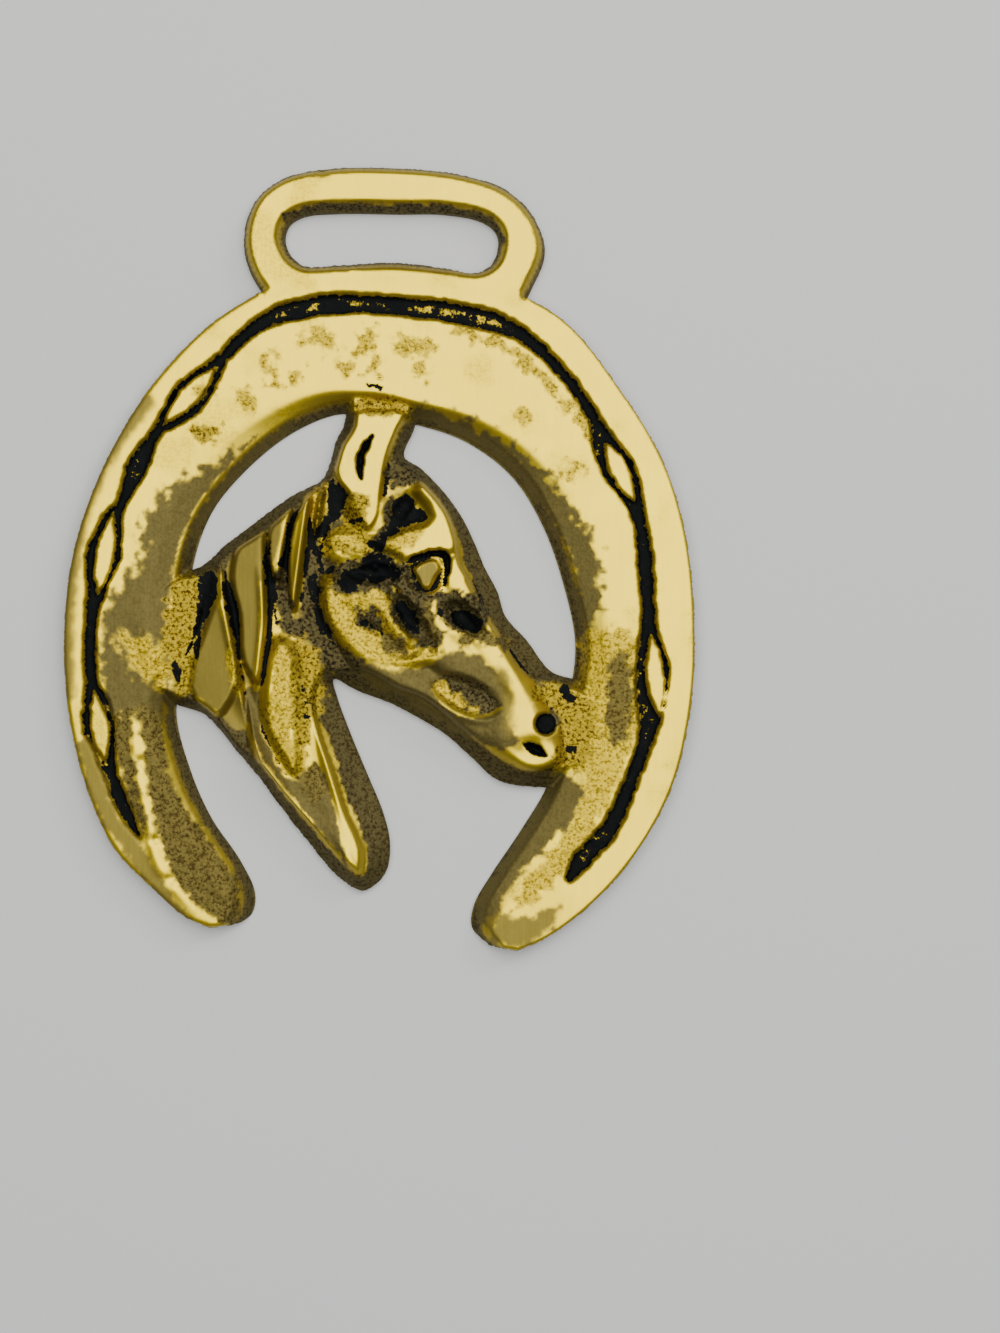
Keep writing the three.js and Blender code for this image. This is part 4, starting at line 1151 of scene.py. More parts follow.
@dataclass
class HorseBrass:
    """The whole casting as one mesh, with its wear, stain, tarnish and painted shade as attributes on it.
    """

    shoe: Shoe = field(default_factory=Shoe)
    loop: StrapLoop = field(default_factory=StrapLoop)
    head: Head = field(default_factory=Head)
    wear: Wear = field(default_factory=Wear)
    edge_gap: float = 0.2
    head_gap: float = 0.18
    plain_gap: float = 0.27
    back_gap: float = 1.6
    back_margin: float = 0.5
    wall_rows: tuple[float, ...] = (0.75, 0.25, 0.0)
    insets: tuple[float, ...] = (0.12, 0.26, 0.44, 0.66)
    row_margin: float = 0.12
    blend: float = 0.3
    # The loop's face is lower than the shoe's, which steps down to it over this width.
    loop_step: float = 2.6
    least_z: float = 0.3
    touched_above: float = 1.6
    crease_degrees: float = 88.0
    # Low ridges and dents over the whole face.
    touches: ClassVar[list[Touch]] = [
        # the ridge down the inside of the left leg, and the pits beside it
        Touch([(-26, -18), (-25, -25), (-23.7, -30), (-22.6, -34), (-19, -38.5)], 0.7, 0.3),
        Touch([(-25, -23)], 0.6, -0.3),
        Touch([(-23.1, -31.3)], 0.5, -0.3),
        Touch([(-22, -35.4), (-20.8, -35.6)], 0.6, -0.3),
        Touch([(-18.5, -30)], 0.5, -0.3),
        Touch([(-17.5, -33)], 0.5, -0.25),
        Touch([(-25.5, -8), (-23.8, -11), (-24, -14)], 1.4, 0.35),
        # casting pits on the crown
        Touch([(-1.6, 19.2), (-0.7, 18.9)], 0.22, -0.2),
        Touch([(-5, 22)], 0.25, -0.15),
        Touch([(0, 23.3)], 0.25, -0.15),
        Touch([(-8, 40.8)], 0.7, -0.25),
        # the cheek's raised edge, its hollow and the slit in it
        Touch([(-5.4, -3), (-4.8, -6), (-3, -8.6), (0, -10.9), (3.5, -11.1), (6.9, -10.2)], 0.9, 0.2),
        Touch([(-2.5, -5.5), (-0.5, -8), (2, -10.3)], 1.7, -0.7),
        Touch([(-2.2, -7), (0.5, -8.5)], 0.5, -0.5),
        Touch([(0.3, -5.5), (1.5, -7.3), (3, -9), (4, -10)], 0.6, 0.4),
        # the edge of the lower jaw
        Touch([(2, -14), (6, -16.4), (10, -18.7)], 0.5, 0.25),
        # hollows round the eye and down the face
        Touch([(-4.4, -1.7), (-1.3, -1.9), (2, -2)], 1.4, -0.9),
        Touch([(1.3, -3.8), (3.5, -7.3), (5.5, -9.3)], 1.3, -0.8),
        Touch([(7.2, -5.3), (8.7, -6.2), (10.5, -7.6)], 1.2, -0.8),
        Touch([(1.5, 6), (3, 5)], 1.5, -1.0),
        Touch([(6, -14.8), (8.6, -16.5), (11.4, -17.2), (13.2, -16.6)], 0.45, 0.3),
        # where the ear is cast on to the crown
        Touch([(-3, 15.9), (-1, 16), (1, 16)], 0.9, -0.45),
        # the rims and the hollow of the neck
        Touch([(-13.2, -19.5), (-10.2, -24.9), (-5.9, -29.7), (-1.8, -34)], 0.8, 0.3),
        Touch([(-7.8, -10), (-6.9, -14), (-7.2, -17)], 0.9, -0.35),
        # the ridges along the locks of the mane
        Touch([(-12.9, -2), (-12.4, -8), (-12.9, -14.5)], 0.4, 0.35),
        Touch([(-17, -5.5), (-15.5, -11), (-14.8, -14.5)], 0.4, 0.35),
        Touch([(-7.9, 5.5), (-8.8, 0), (-9.2, -6)], 0.35, 0.3),
        Touch([(-10.5, -3.4)], 0.5, -0.6),
    ]
    # Where the surface doesn't look as its height alone would have it.
    patches: ClassVar[list[Patch]] = [
        # the bevel along the inner edge of the shoe, where the belt marks end short of it
        Patch(Look.SATIN, [(-9, 15.2), (-14, 12.2), (-17, 10), (-20, 8.4), (-23, 6.4), (-25.4, 3.4),
            (-26, -1), (-28.2, -4.6), (-29.7, -7), (-29.8, -14), (-28.4, -18), (-25.6, -19.4), (-22, -19.6),
            (-22, -3), (-20.6, 1), (-16, 7.4)], 0, 1.1, 0.8),
        Patch(Look.SATIN, [(2.4, 15.9), (8, 15.1), (12, 13.2), (15.6, 10.9), (18, 8.4), (20.6, 5.4),
            (22.6, 2.2), (23.7, -1), (23.3, -5), (22.2, -8.4), (20.6, -2), (17.6, 4.6), (11, 11),
            (4, 14.6)], 0, 0.9, 0.9),
        Patch(Look.POLISHED, [(-8, 15.7), (-12, 13.6), (-16, 9.7), (-19.6, 5.2), (-21.6, 0.8),
            (-22.3, -3.2)], 0.15, 0.25, 0.15),
        # the left leg
        Patch(Look.FROSTED, [(-28, -10), (-24.6, -10), (-22.2, -12.4), (-22.6, -15.4), (-25, -14.2),
            (-27, -12)], 0, 1.2, 0.8),
        Patch(Look.GOLDEN, [(-33.3, -16), (-33.6, -8), (-32.6, 2), (-30.2, 9), (-26, 15.4)], 0.9, 1.0, 0.2),
        Patch(Look.GOLDEN, [(-31, -22), (-28.6, -28), (-25.4, -32.6), (-22.6, -36), (-19.6, -39.8)], 1.2,
            0.8, 0.5),
        Patch(Look.BROWN, [(-27.8, -18), (-23.2, -17.6), (-22, -24), (-20, -28), (-16.6, -32), (-14, -36.6),
            (-14.6, -40), (-19, -38), (-23, -32), (-25.4, -29)], 0, 0.4, 0.4),
        Patch(Look.POLISHED, [(-25.8, -18.6), (-25.2, -23), (-24.2, -27), (-23.2, -31), (-22.4, -34),
            (-20.6, -36.8), (-18.4, -39)], 0.5, 0.5, 0.35),
        Patch(Look.POLISHED, [(-23, -16.4), (-22.8, -19), (-21.5, -24), (-19.8, -27.4), (-17.6, -30.6),
            (-15, -34)], 0.12, 0.25, 0.2),
        # the right leg
        Patch(Look.FROSTED, [(22.4, -7.4), (27.4, -7.6), (28, -14), (27.6, -19.4), (25.8, -24.4),
            (22.6, -30.6), (17.2, -36.6), (15.4, -37.4), (17, -33.6), (21.4, -27), (22.4, -20),
            (22.2, -13)], 0, 0.8, 0.7),
        Patch(Look.BROWN, [(24.8, -9.6), (26.8, -9.4), (27.3, -14), (26.6, -18.8), (25, -19), (24.4, -14)],
            0, 0.6, 0.6),
        Patch(Look.SATIN, [(19.6, -22.4), (22, -23.4), (21.8, -26.4), (19.6, -29.6), (17, -32.2),
            (14.4, -36.4), (12.6, -39), (11, -37), (14.4, -32), (17.4, -27)], 0, 0.5, 0.5),
        Patch(Look.GOLDEN, [(13, -38.6), (16.4, -38), (20.6, -36.6), (20, -39), (16.8, -41), (13.4, -41)],
            0, 0.8, 0.6),
        # beside the groove, and the pits of the crown
        Patch(Look.PITTED, [(7, 24.6), (12, 22.8), (16, 20), (20, 16.4), (22.2, 12.6)], 0.6, 0.8, 0.8),
        Patch(Look.PITTED, [(-8.4, 23.2), (-7, 23)], 0.9, 1.2, 1.0),
        Patch(Look.PITTED, [(1.6, 22.6), (3.4, 22.2)], 1.1, 1.2, 1.0),
        Patch(Look.PITTED, [(-4.4, 20)], 0.7, 0.9, 0.9),
        Patch(Look.PITTED, [(-3.4, 21.6), (-2.2, 23.6)], 0.6, 0.9, 0.9),
        Patch(Look.PITTED, [(-1.5, 20.3)], 0.7, 0.8, 0.8),
        Patch(Look.PITTED, [(3.4, 20)], 0.8, 0.9, 0.9),
        Patch(Look.PITTED, [(-12.8, 20.6), (-12.4, 18.4)], 0.6, 1.0, 1.0),
        Patch(Look.PITTED, [(-9.8, 18.8)], 0.8, 0.9, 0.9),
        Patch(Look.PITTED, [(-15.4, 16)], 0.9, 1.1, 1.1),
        Patch(Look.SPECKLED, [(-20.6, 12.4), (-18.6, 12.2)], 0.5, 1.0, 1.1),
        Patch(Look.PITTED, [(-20, 17)], 0.8, 0.9, 0.9),
        Patch(Look.PITTED, [(20, 10)], 0.8, 1.0, 1.0),
        Patch(Look.PITTED, [(14.6, 15.6)], 0.5, 0.8, 0.8),
        Patch(Look.LACQUERED, [(-1.8, 18.2), (-0.9, 17.9)], 0.25, 0.3, 0.3),
        Patch(Look.SPECKLED, [(-3.5, 15), (2, 15.2), (2, 16.6), (-0.6, 17), (-3.4, 16.6)]),
        # where the neck and the nose run into the shoe
        Patch(Look.SPECKLED, [(-22.4, -3.4), (-19.4, -3.6), (-19.4, -14.8), (-21.4, -15.8), (-22.6, -12.4)],
            0, 0.6, 0.6),
        # its lower edge runs down over the ledge under the chin as a painted shadow: darker, stained and
        # rough there
        Patch(Look.SPECKLED, [(16.8, -13.2), (20.4, -13.4), (22.6, -14.6), (23.4, -18), (22.6, -21.4),
            (19.4, -22), (19.8, -18), (19.4, -15.8), (17.2, -14.8)], 0, 0.5, 0.5),
        Patch(Look.LACQUERED, [(20.2, -13.6), (21, -14.8)], 0.3, 0.3, 0.4),
        Patch(Look.LACQUERED, [(20.4, -19.6), (21.4, -20)], 0.2, 0.3, 0.4),
        Patch(Look.LACQUERED, [(-21.8, -12.2), (-21.4, -14)], 0.3, 0.3, 0.4),
        # the lower jaw and the muzzle
        Patch(Look.SATIN, [(-6.4, -6.8), (-4.6, -8.9), (-2.4, -10.6), (0, -11.8), (2.2, -12), (5, -11.4),
            (7.2, -10.2), (9.4, -9.9), (11.8, -10.8), (13.6, -13), (14.2, -16.6), (15.2, -20), (11, -19.6),
            (4, -16), (-1.6, -13.4), (-5.4, -10.6)], 0, 0.7, 0.4),
        Patch(Look.GOLDEN, [(13.2, -12), (14.1, -15), (14.3, -18)], 0.5, 1.6, 0.3),
        Patch(Look.SCALED, [(5.9, -13.6), (7, -12.6), (9, -12.4), (11, -13.2), (12.9, -14.9), (13.4, -15.9),
            (12.2, -16.5), (9.6, -16.5), (7.4, -15.5)], 0, 0.3, 0.2),
        Patch(Look.FROSTED, [(6, -13.6), (7.4, -13.6), (9.4, -15), (11.2, -16), (9.6, -16.4), (7.4, -15.4)],
            0, 0.6, 0.6),
        Patch(Look.POLISHED, [(5.9, -14.1), (7.4, -15.7), (9.8, -16.7), (12, -16.6), (13.3, -15.8)], 0.14,
            0.2, 0.05),
        # the cheek
        Patch(Look.FROSTED, [(-6.1, -2.4), (-5, -2.8), (-4.6, -3.8), (-1.4, -3.4), (1, -3), (1.4, -6),
            (2.6, -8), (4, -9.8), (7.1, -9.9), (5, -11.3), (2, -11.8), (0, -11.5), (-2.4, -10.2),
            (-4.5, -8.5), (-5.9, -6.4)], 0, 0.35, 0.35),
        Patch(Look.SCALED, [(-2.8, -5.8), (-0.8, -5.8), (0.2, -6.4), (0.5, -8.2), (-0.8, -8.4),
            (-2.1, -7.6)], 0, 0.6, 0.6),
        Patch(Look.BROWN, [(0.3, -8.8), (1.3, -8), (2.5, -8.7), (3.2, -9.9), (2.8, -10.7), (1.4, -10.4)], 0,
            0.5, 0.5),
        Patch(Look.LACQUERED, [(-1.6, -7.2), (0.2, -8.3)], 0.2, 0.3, 0.4),
        Patch(Look.SCALED, [(1.2, -4), (2.6, -3.4), (6, -4), (5.8, -6), (6.5, -8.2), (6.8, -9.8), (5, -9.8),
            (3.8, -9.1), (2.8, -7.8), (1.6, -6.6)], 0, 0.4, 0.4),
        Patch(Look.LACQUERED, [(2, -5.2), (3.8, -5.6), (4.4, -7.4), (3.6, -7.8), (2.2, -6.6)], 0, 0.5, 0.5),
        Patch(Look.BROWN, [(4.6, -4.6), (5.6, -4.6), (5.6, -6.4), (6.3, -9), (5.4, -8.8), (4.8, -6.8)], 0,
            0.5, 0.4),
        # down the face
        Patch(Look.SCALED, [(6, -4), (8, -3.5), (10.2, -3.7), (11.8, -6.4), (10.8, -7.9), (8.6, -7.8),
            (6.8, -7.2), (6, -6)], 0, 0.5, 0.5),
        Patch(Look.BROWN, [(9, -8.8), (11.6, -8.4), (13, -8.8)], 0.6, 0.8, 0.8),
        Patch(Look.LACQUERED, [(7.5, -5.4), (9.6, -6), (11, -7.1), (10.2, -7.8), (8.4, -7), (7.6, -6.3)]),
        Patch(Look.LACQUERED, [(6.4, -6), (7, -7)], 0.22, 0.3, 0.3),
        # behind the eye, and between it and the ear
        Patch(Look.SPECKLED, [(-6.6, 1.8), (-4.8, 2.6), (-4.2, 4.8), (-3.6, 6.2), (-1.8, 6), (-1.6, 2.6),
            (0.2, 0.8), (1.4, -0.4), (-4, 0), (-6.2, -0.6)], 0, 0.5, 0.5),
        Patch(Look.FROSTED, [(-5.4, 1.6), (-3.8, 1.8), (-2.4, 0.9)], 0.6, 0.6, 0.6),
        Patch(Look.SCALED, [(-5.4, -2), (-3.4, -0.6), (0, 0.2), (2, -0.5), (3.1, -1.2), (3.9, -3.3),
            (4.8, -3.9), (1.8, -3.8), (-1.8, -3.9), (-4.8, -4)], 0, 0.5, 0.5),
        Patch(Look.LACQUERED, [(-4.6, -3.4), (-2.8, -3.7), (-1.6, -2.9), (1.2, -2.6), (2.2, -1.4),
            (0.8, -0.4), (-2, -0.3), (-2.6, -1.2), (-4.4, -2.2)], 0, 0.4, 0.4),
        Patch(Look.LACQUERED, [(-3.3, 3.7), (-2.4, 3.7)], 0.3, 0.3, 0.4),
        # the brow: polished above the eye, with a black hollow behind it
        Patch(Look.POLISHED, [(2.2, 7.4), (3.8, 8), (5.2, 6.9), (7, 4.4), (8.2, 2), (8.8, -0.6),
            (9.7, -2.6), (7.3, -3.1), (7, -0.2), (5.8, 0.8), (3, 0.1), (0.8, 0.8), (2, 3), (4.4, 3.8),
            (4.4, 4.9)], 0, 0.25, 0.12),
        Patch(Look.FROSTED, [(0.3, 1.2), (1.6, 2.8), (4.4, 3.5), (3.8, 1.8), (2.2, 0.5), (1, 0.3)], 0, 0.9,
            0.5),
        Patch(Look.SCALED, [(0.4, 10), (0.4, 7.4), (2.2, 7.2), (3.8, 8), (2.8, 9.6), (1.4, 10.6)], 0, 0.5,
            0.5),
        Patch(Look.SCALED, [(-0.9, 0.6), (0.6, 1.6), (1.2, 6.6), (0.2, 6.4), (-0.1, 3.6), (-1, 2)], 0, 0.3,
            0.3),
        Patch(Look.LACQUERED, [(0.6, 2.2), (0.7, 4.6), (1.1, 6.2), (2.4, 6.5), (3.6, 5.2), (5, 4.1),
            (3.6, 3.7), (2.2, 3), (1.2, 2.2)], 0, 0.3, 0.25),
        Patch(Look.LACQUERED, [(-1.4, 1.2), (-0.4, 1), (0.2, 2)], 0.3, 0.3, 0.3),
        Patch(Look.GOLDEN, [(3.8, -1.5), (5.4, -0.6), (6, -1.3), (5.2, -2.9), (4.6, -3.1)], 0, 0.3, 0.1),
        # the edge of the cheek, seen against the neck
        Patch(Look.FROSTED, [(-7.9, 7), (-6.4, 7.6), (-6.1, 4.6), (-7.2, 2.4), (-7.8, 3)], 0, 0.4, 0.4),
        Patch(Look.LACQUERED, [(-6, 7.5), (-5, 7.3), (-4.2, 5.6), (-5, 4), (-5.8, 2.4), (-7, 1.7), (-7, 3),
            (-6.1, 4.4)]),
        Patch(Look.LACQUERED, [(-7.6, 1.4), (-7.1, 0)], 0.3, 0.3, 0.3),
        Patch(Look.LACQUERED, [(-6.8, -0.4), (-6.5, -1.8)], 0.3, 0.3, 0.3),
        Patch(Look.SCALED, [(-8, -2.2), (-6.5, -2.4), (-6.3, -6), (-4.6, -9), (-1.4, -11.8), (-2.6, -13.4),
            (-5.4, -12.6), (-7.4, -9.8), (-10.6, -8.4), (-11, -7), (-8.6, -6.8)], 0, 0.4, 0.4),
        Patch(Look.LACQUERED, [(-7.4, -2.6), (-7, -5), (-6.2, -7.6), (-4.8, -9.6)], 0.35, 0.4, 0.4),
        # the neck
        Patch(Look.SPECKLED, [(-9.4, -9.6), (-7.6, -9.4), (-5.8, -13), (-6, -17), (-6.8, -20.6),
            (-8, -21.6), (-9, -19)], 0, 0.9, 0.7),
        Patch(Look.FROSTED, [(-10.9, -8.8), (-9.6, -9.4), (-9.2, -12), (-9.2, -16), (-8.8, -20),
            (-7, -21.4), (-8, -24.3), (-9.2, -23.6), (-10.4, -22), (-11.2, -20.2), (-12.4, -17.4),
            (-11.2, -15)], 0, 0.4, 0.35),
        Patch(Look.LACQUERED, [(-7.6, -14.8), (-7.2, -17)], 0.2, 0.6, 0.7),
        Patch(Look.SATIN, [(-14.2, -13), (-12.6, -15), (-12.6, -17.6), (-11.4, -20.6), (-9.8, -23.6),
            (-7.8, -24.2), (-6.4, -22.2), (-5.4, -22.8), (-4.2, -26), (-3.3, -29.6), (-1.8, -33.6),
            (-4, -32), (-7, -29), (-10.4, -25.4), (-13, -21.4)], 0, 0.35, 0.25),
        Patch(Look.BROWN, [(-7.8, -24), (-6.4, -22.4), (-5.4, -23), (-4.8, -26), (-6.6, -26.4)], 0, 1.0,
            0.6),
        Patch(Look.POLISHED, [(-6.6, -17), (-5.4, -19), (-4.2, -22), (-2.9, -26), (-1.6, -28.6),
            (-0.4, -32), (-0.8, -34.3), (-2.3, -33), (-3.2, -30.2), (-3.9, -27.4), (-4.9, -24),
            (-6.8, -21.2)], 0, 0.3, 0.2),
        Patch(Look.POLISHED, [(-13.8, -18.6), (-12.7, -21.2), (-10.9, -23.9), (-8.2, -27), (-5.6, -30),
            (-3.4, -32.3)], 0.25, 0.35, 0.2),
        # the mane
        Patch(Look.GOLDEN, [(-17.6, -5.8), (-16.6, -7.6), (-16, -10), (-15.4, -14.4), (-13.8, -18.8),
            (-15, -19.2), (-16.8, -17.4), (-19.6, -15.2), (-19.3, -12), (-18.4, -7)], 0, 0.3, 0.15),
        Patch(Look.GOLDEN, [(-16.8, -2), (-14.6, 0.6), (-12.6, 1.6), (-12.6, -2.4), (-12.8, -8),
            (-13.2, -13), (-14, -14.6), (-14.8, -11), (-15, -6.4), (-16.2, -3.6)], 0, 0.3, 0.15),
        Patch(Look.GOLDEN, [(-12.3, 2.4), (-10.8, 3.8), (-11, 1), (-11.8, -1.6)], 0, 0.3, 0.1),
        Patch(Look.PITTED, [(-15.7, -9.6), (-15.2, -13), (-14.4, -15)], 0.5, 0.5, 0.5),
        Patch(Look.POLISHED, [(-17.1, -5.2), (-16.4, -7), (-16, -9.6)], 0.16, 0.2, 0.1),
        Patch(Look.POLISHED, [(-12.8, -3.6), (-12.4, -6), (-12.3, -9), (-12.6, -12), (-13, -14.8)], 0.22,
            0.25, 0.15),
        Patch(Look.POLISHED, [(-10.4, 3.6), (-10.7, 1), (-11.2, -1.8)], 0.2, 0.25, 0.15),
        Patch(Look.POLISHED, [(-8.2, 6), (-8.6, 1), (-8.8, -2.4), (-9.1, -6)], 0.35, 0.4, 0.2),
        Patch(Look.SCALED, [(-11.8, -2.4), (-10.4, -2.2), (-9.7, -4), (-9.4, -6.8), (-10.4, -7.6),
            (-11.3, -6)], 0, 0.4, 0.4),
        Patch(Look.LACQUERED, [(-12.4, 1), (-12.5, -1.8), (-11.9, -3)], 0.12, 0.2, 0.15),
        Patch(Look.LACQUERED, [(-11.9, -3), (-11.4, -5.5), (-11, -7.6)], 0.28, 0.3, 0.3),
        Patch(Look.LACQUERED, [(-10.2, 3), (-10.3, 0.6), (-10.9, -1.4)], 0.12, 0.2, 0.15),
        Patch(Look.LACQUERED, [(-17, -3.4), (-16.2, -3.8), (-15.4, -6), (-15, -8.6), (-15.4, -9.4),
            (-16, -7.8), (-16.7, -5.4)]),
        Patch(Look.LACQUERED, [(-19.1, -2.4), (-18, -2.4), (-17.6, -4.4), (-18.2, -6.8), (-19, -9),
            (-19.2, -11.6), (-19.8, -11.6), (-19.7, -8), (-19.7, -5)]),
        # the far wall of the slot
        Patch(Look.SCALED, [(-12, 36), (-9, 37), (0, 37.4), (6, 37.4), (10, 36.4), (11.6, 34.4)], 0.35, 0.3,
            0.2),
    ]

    def metal(self, xy: np.ndarray) -> np.ndarray:
        """Tells which points lie over the casting."""
        return self.loop.holds(xy) | is_inside(self.shoe.back, xy) | is_inside(self.head.back, xy)

    def outline(self) -> Outline:
        """Finds the casting's edge.

        Returns:
            The edge of the shoe, the loop and the head together, less the strap's slot.
        """
        rings = [self.shoe.back, self.loop.back, self.loop.slot_back, self.head.back]
        points, triangles = triangulate(np.vstack(rings), ring_links([len(ring) for ring in rings]))
        metal = self.metal(points[triangles].mean(axis=1))
        following = {int(a): int(b) for a, b in border_of(triangles[metal])}
        outline = Outline(self.edge_gap)
        while following:
            start, at = next(iter(following.items()))
            del following[start]
            ring = [start]
            while at != start:
                ring.append(at)
                at = following.pop(at)
            outline.add(points[ring])
        return outline

    def relief(self, xy: np.ndarray) -> Relief:
        """Works out the casting's surface.

        Args:
            xy: the points, in millimetres.

        Returns:
            The surface over the points.
        """
        in_loop = self.loop.holds(xy)
        in_shoe, in_head = is_inside(self.shoe.back, xy), is_inside(self.head.back, xy)
        z, on_loop, on_head = (np.full(len(xy), ABSENT) for _ in range(3))
        z[in_shoe] = self.shoe.heights(xy[in_shoe])
        on_loop[in_loop] = self.loop.heights(xy[in_loop])
        step = ease(nearest_on(self.shoe.outer, xy).distance / self.loop_step)
        sunk = self.loop.face_z + (self.shoe.face_z - self.loop.face_z) * step
        z = np.where(in_loop & in_shoe, np.minimum(z, sunk), z)
        z = np.maximum(z, on_loop)
        floor = self.shoe.groove_floor_z
        groove = self.shoe.groove_share(xy) * (z > floor)
        z = np.where(groove > 0, z + (floor - z) * groove, z)
        cut = np.zeros(len(xy))
        on_head[in_head], cut[in_head] = self.head.heights(xy[in_head])
        z = smooth_max(z, on_head, self.blend)
        is_head = on_head >= z - self.blend
        z = np.maximum(z, self.least_z)
        for touch in self.touches:
            z = z + touch.change(xy) * (z > self.touched_above)
        return Relief(z, cut * is_head, groove, is_head & ~in_shoe)

    def surface(self, outline: Outline) -> tuple[np.ndarray, np.ndarray]:
        """Lays triangles over the whole face: close together on the head, wider on the shoe.

        Args:
            outline: the casting's edge.

        Returns:
            The points, in millimetres, and the triangles between them.
        """
        edge = outline.points()
        low, high = edge.min(axis=0), edge.max(axis=0)
        fine, plain = (honeycomb(low, high, gap) for gap in (self.head_gap, self.plain_gap))
        fine = fine[is_inside(self.head.back, fine)]
        plain = plain[~is_inside(self.head.back, plain)]
        inner = np.vstack([fine, plain])
        inner = inner[outline.holds(inner)]
        inner = inner[distances(edge, inner) > self.insets[-1] + self.row_margin]
        rows = [outline.row(inset) for inset in self.insets]
        return fill(np.vstack([edge, *rows, inner]), outline.links(), outline.holds)

    def build(self) -> bpy.types.Object:
        """Makes the casting.

        Returns:
            The casting's object, at the origin, with its place in its mesh.
        """
        outline = self.outline()
        points, triangles = self.surface(outline)
        relief = self.relief(points)
        finish = self.wear.finish(points, triangles, relief, distances(outline.points(), points))
        for patch in self.patches:
            cover = patch.cover(points)
            for kind, values in finish.items():
                values += (patch.look.of(kind) - values) * cover
        # what the cuts left black stays black
        black = np.maximum(self.wear.cut_stain * relief.cut, self.wear.groove_stain(points, relief.groove))
        finish[Finish.STAIN] = np.maximum(finish[Finish.STAIN], black)
        z = self.wear.roughened(points, relief.z, finish[Finish.GRAIN])
        return self.close(points, triangles, z, finish)

    def close(
        self, points: np.ndarray, triangles: np.ndarray, z: np.ndarray, finish: dict[Finish, np.ndarray]
    ) -> bpy.types.Object:
        """Adds the upright walls and the flat back.

        Args:
            points: the face's points, in millimetres.
            triangles: the face's triangles.
            z: the height at each point.
            finish: the strength of each finish at each point.

        Returns:
            The closed object.
        """
        border = border_of(triangles)
        rim = np.unique(border)
        count, around = len(points), len(rim)
        start, end = border.T
        above, walls, rows = np.arange(count), [], []
        for row, share in enumerate(self.wall_rows):
            below = np.full(count, -1)
            below[rim] = count + row * around + np.arange(around)
            walls += np.stack([above[end], above[start], below[start], below[end]], axis=1).tolist()
            rows.append(z[rim] * share)
            above = below
        # the back has the same edge, and a few points inside it
        places = {int(p): i for i, p in enumerate(rim)}
        links = [(places[int(p)], places[int(q)]) for p, q in border]
        inner = honeycomb(points.min(axis=0), points.max(axis=0), self.back_gap)
        inner = inner[(distances(points[rim], inner) > self.back_margin) & self.metal(inner)]
        back, back_faces = fill(np.vstack([points[rim], inner]), links, self.metal)
        added = len(back) - around
        xy = np.vstack([points, *[points[rim]] * len(rows), back[around:]])
        heights = np.concatenate([z, *rows, np.zeros(added)])
        # its points on the edge are the walls' feet
        index = np.concatenate([above[rim], len(xy) - added + np.arange(added)])
        faces = [*triangles.tolist(), *walls, *index[back_faces][:, ::-1].tolist()]
        mesh = self.mesh(xy, heights, faces)
        normals = np.empty(3 * len(xy))
        mesh.vertices.foreach_get("normal", normals)
        # painted shade: the tarnish channel is darkened further where the surface leans from straight up
        leaning = self.wear.leaning(normals[2::3][:count], triangles)
        finish[Finish.TARNISH] = np.maximum(finish[Finish.TARNISH], leaning)
        for kind, values in finish.items():
            full = np.full(len(xy), Look.AS_CAST.of(kind))
            full[:count] = values
            full[rim] = Look.AS_CAST.of(kind)
            mesh.attributes.new(kind.value, "FLOAT", "POINT").data.foreach_set("value", full)
        mesh.validate()
        log.info("casting: %d points, %d faces, top %.2f mm", len(xy), len(faces), heights.max())
        return self.shaded(mesh)

    def mesh(self, xy: np.ndarray, heights: np.ndarray, faces: list[list[int]]) -> bpy.types.Mesh:
        """Fits the casting to its box.

        Args:
            xy: the points seen from above, in millimetres.
            heights: their heights.
            faces: the points round each face.

        Returns:
            The mesh, in metres.
        """
        low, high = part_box("horse_brass")
        least = xy.min(axis=0)
        scale = np.array([high.x - low.x, high.y - low.y]) / np.ptp(xy, axis=0)
        placed = (xy - least) * scale + np.array([low.x, low.y])
        upright = np.clip(heights * MM + low.z, low.z, high.z)
        mesh = bpy.data.meshes.new("horse_brass_casting")
        mesh.from_pydata(np.column_stack([placed, upright]).tolist(), [], faces)
        return mesh

    def shaded(self, mesh: bpy.types.Mesh) -> bpy.types.Object:
        """Makes the object, smooth but for the edge of its back.

        Args:
            mesh: the casting's mesh.

        Returns:
            The object.
        """
        obj = bpy.data.objects.new("horse_brass_casting", mesh)
        bpy.context.scene.collection.objects.link(obj)
        bpy.ops.object.select_all(action="DESELECT")
        obj.select_set(True)
        bpy.context.view_layer.objects.active = obj
        bpy.ops.object.shade_smooth_by_angle(angle=math.radians(self.crease_degrees))
        return obj


# ------------------------------------------------------------------ the finish


def hex_colour(value: str) -> tuple[float, float, float, float]:
    """Turns an sRGB value into a linear colour.

    Args:
        value: six hex digits after a hash.

    Returns:
        Red, green, blue and a full alpha.
    """
    parts = [int(value[i : i + 2], 16) / 255 for i in (1, 3, 5)]
    linear = [c / 12.92 if c <= 0.04045 else ((c + 0.055) / 1.055) ** 2.4 for c in parts]
    return (*linear, 1.0)


def add_node(
    tree: bpy.types.NodeTree,
    kind: str,
    inputs: dict[str | int, object] | None = None,
    **settings: object,
) -> bpy.types.Node:
    """Adds a node.

    Args:
        tree: where it goes.
        kind: its type's name, without ShaderNode.
        inputs: its sockets' values, or the nodes or sockets that lead to them.
        settings: its properties.

    Returns:
        The node.
    """
    node = tree.nodes.new("ShaderNode" + kind)
    for name, value in settings.items():
        setattr(node, name, value)
    for name, value in (inputs or {}).items():
        if isinstance(value, bpy.types.Node):
            value = value.outputs[0]
        if isinstance(value, bpy.types.NodeSocket):
            tree.links.new(value, node.inputs[name])
        else:
            node.inputs[name].default_value = value
    return node


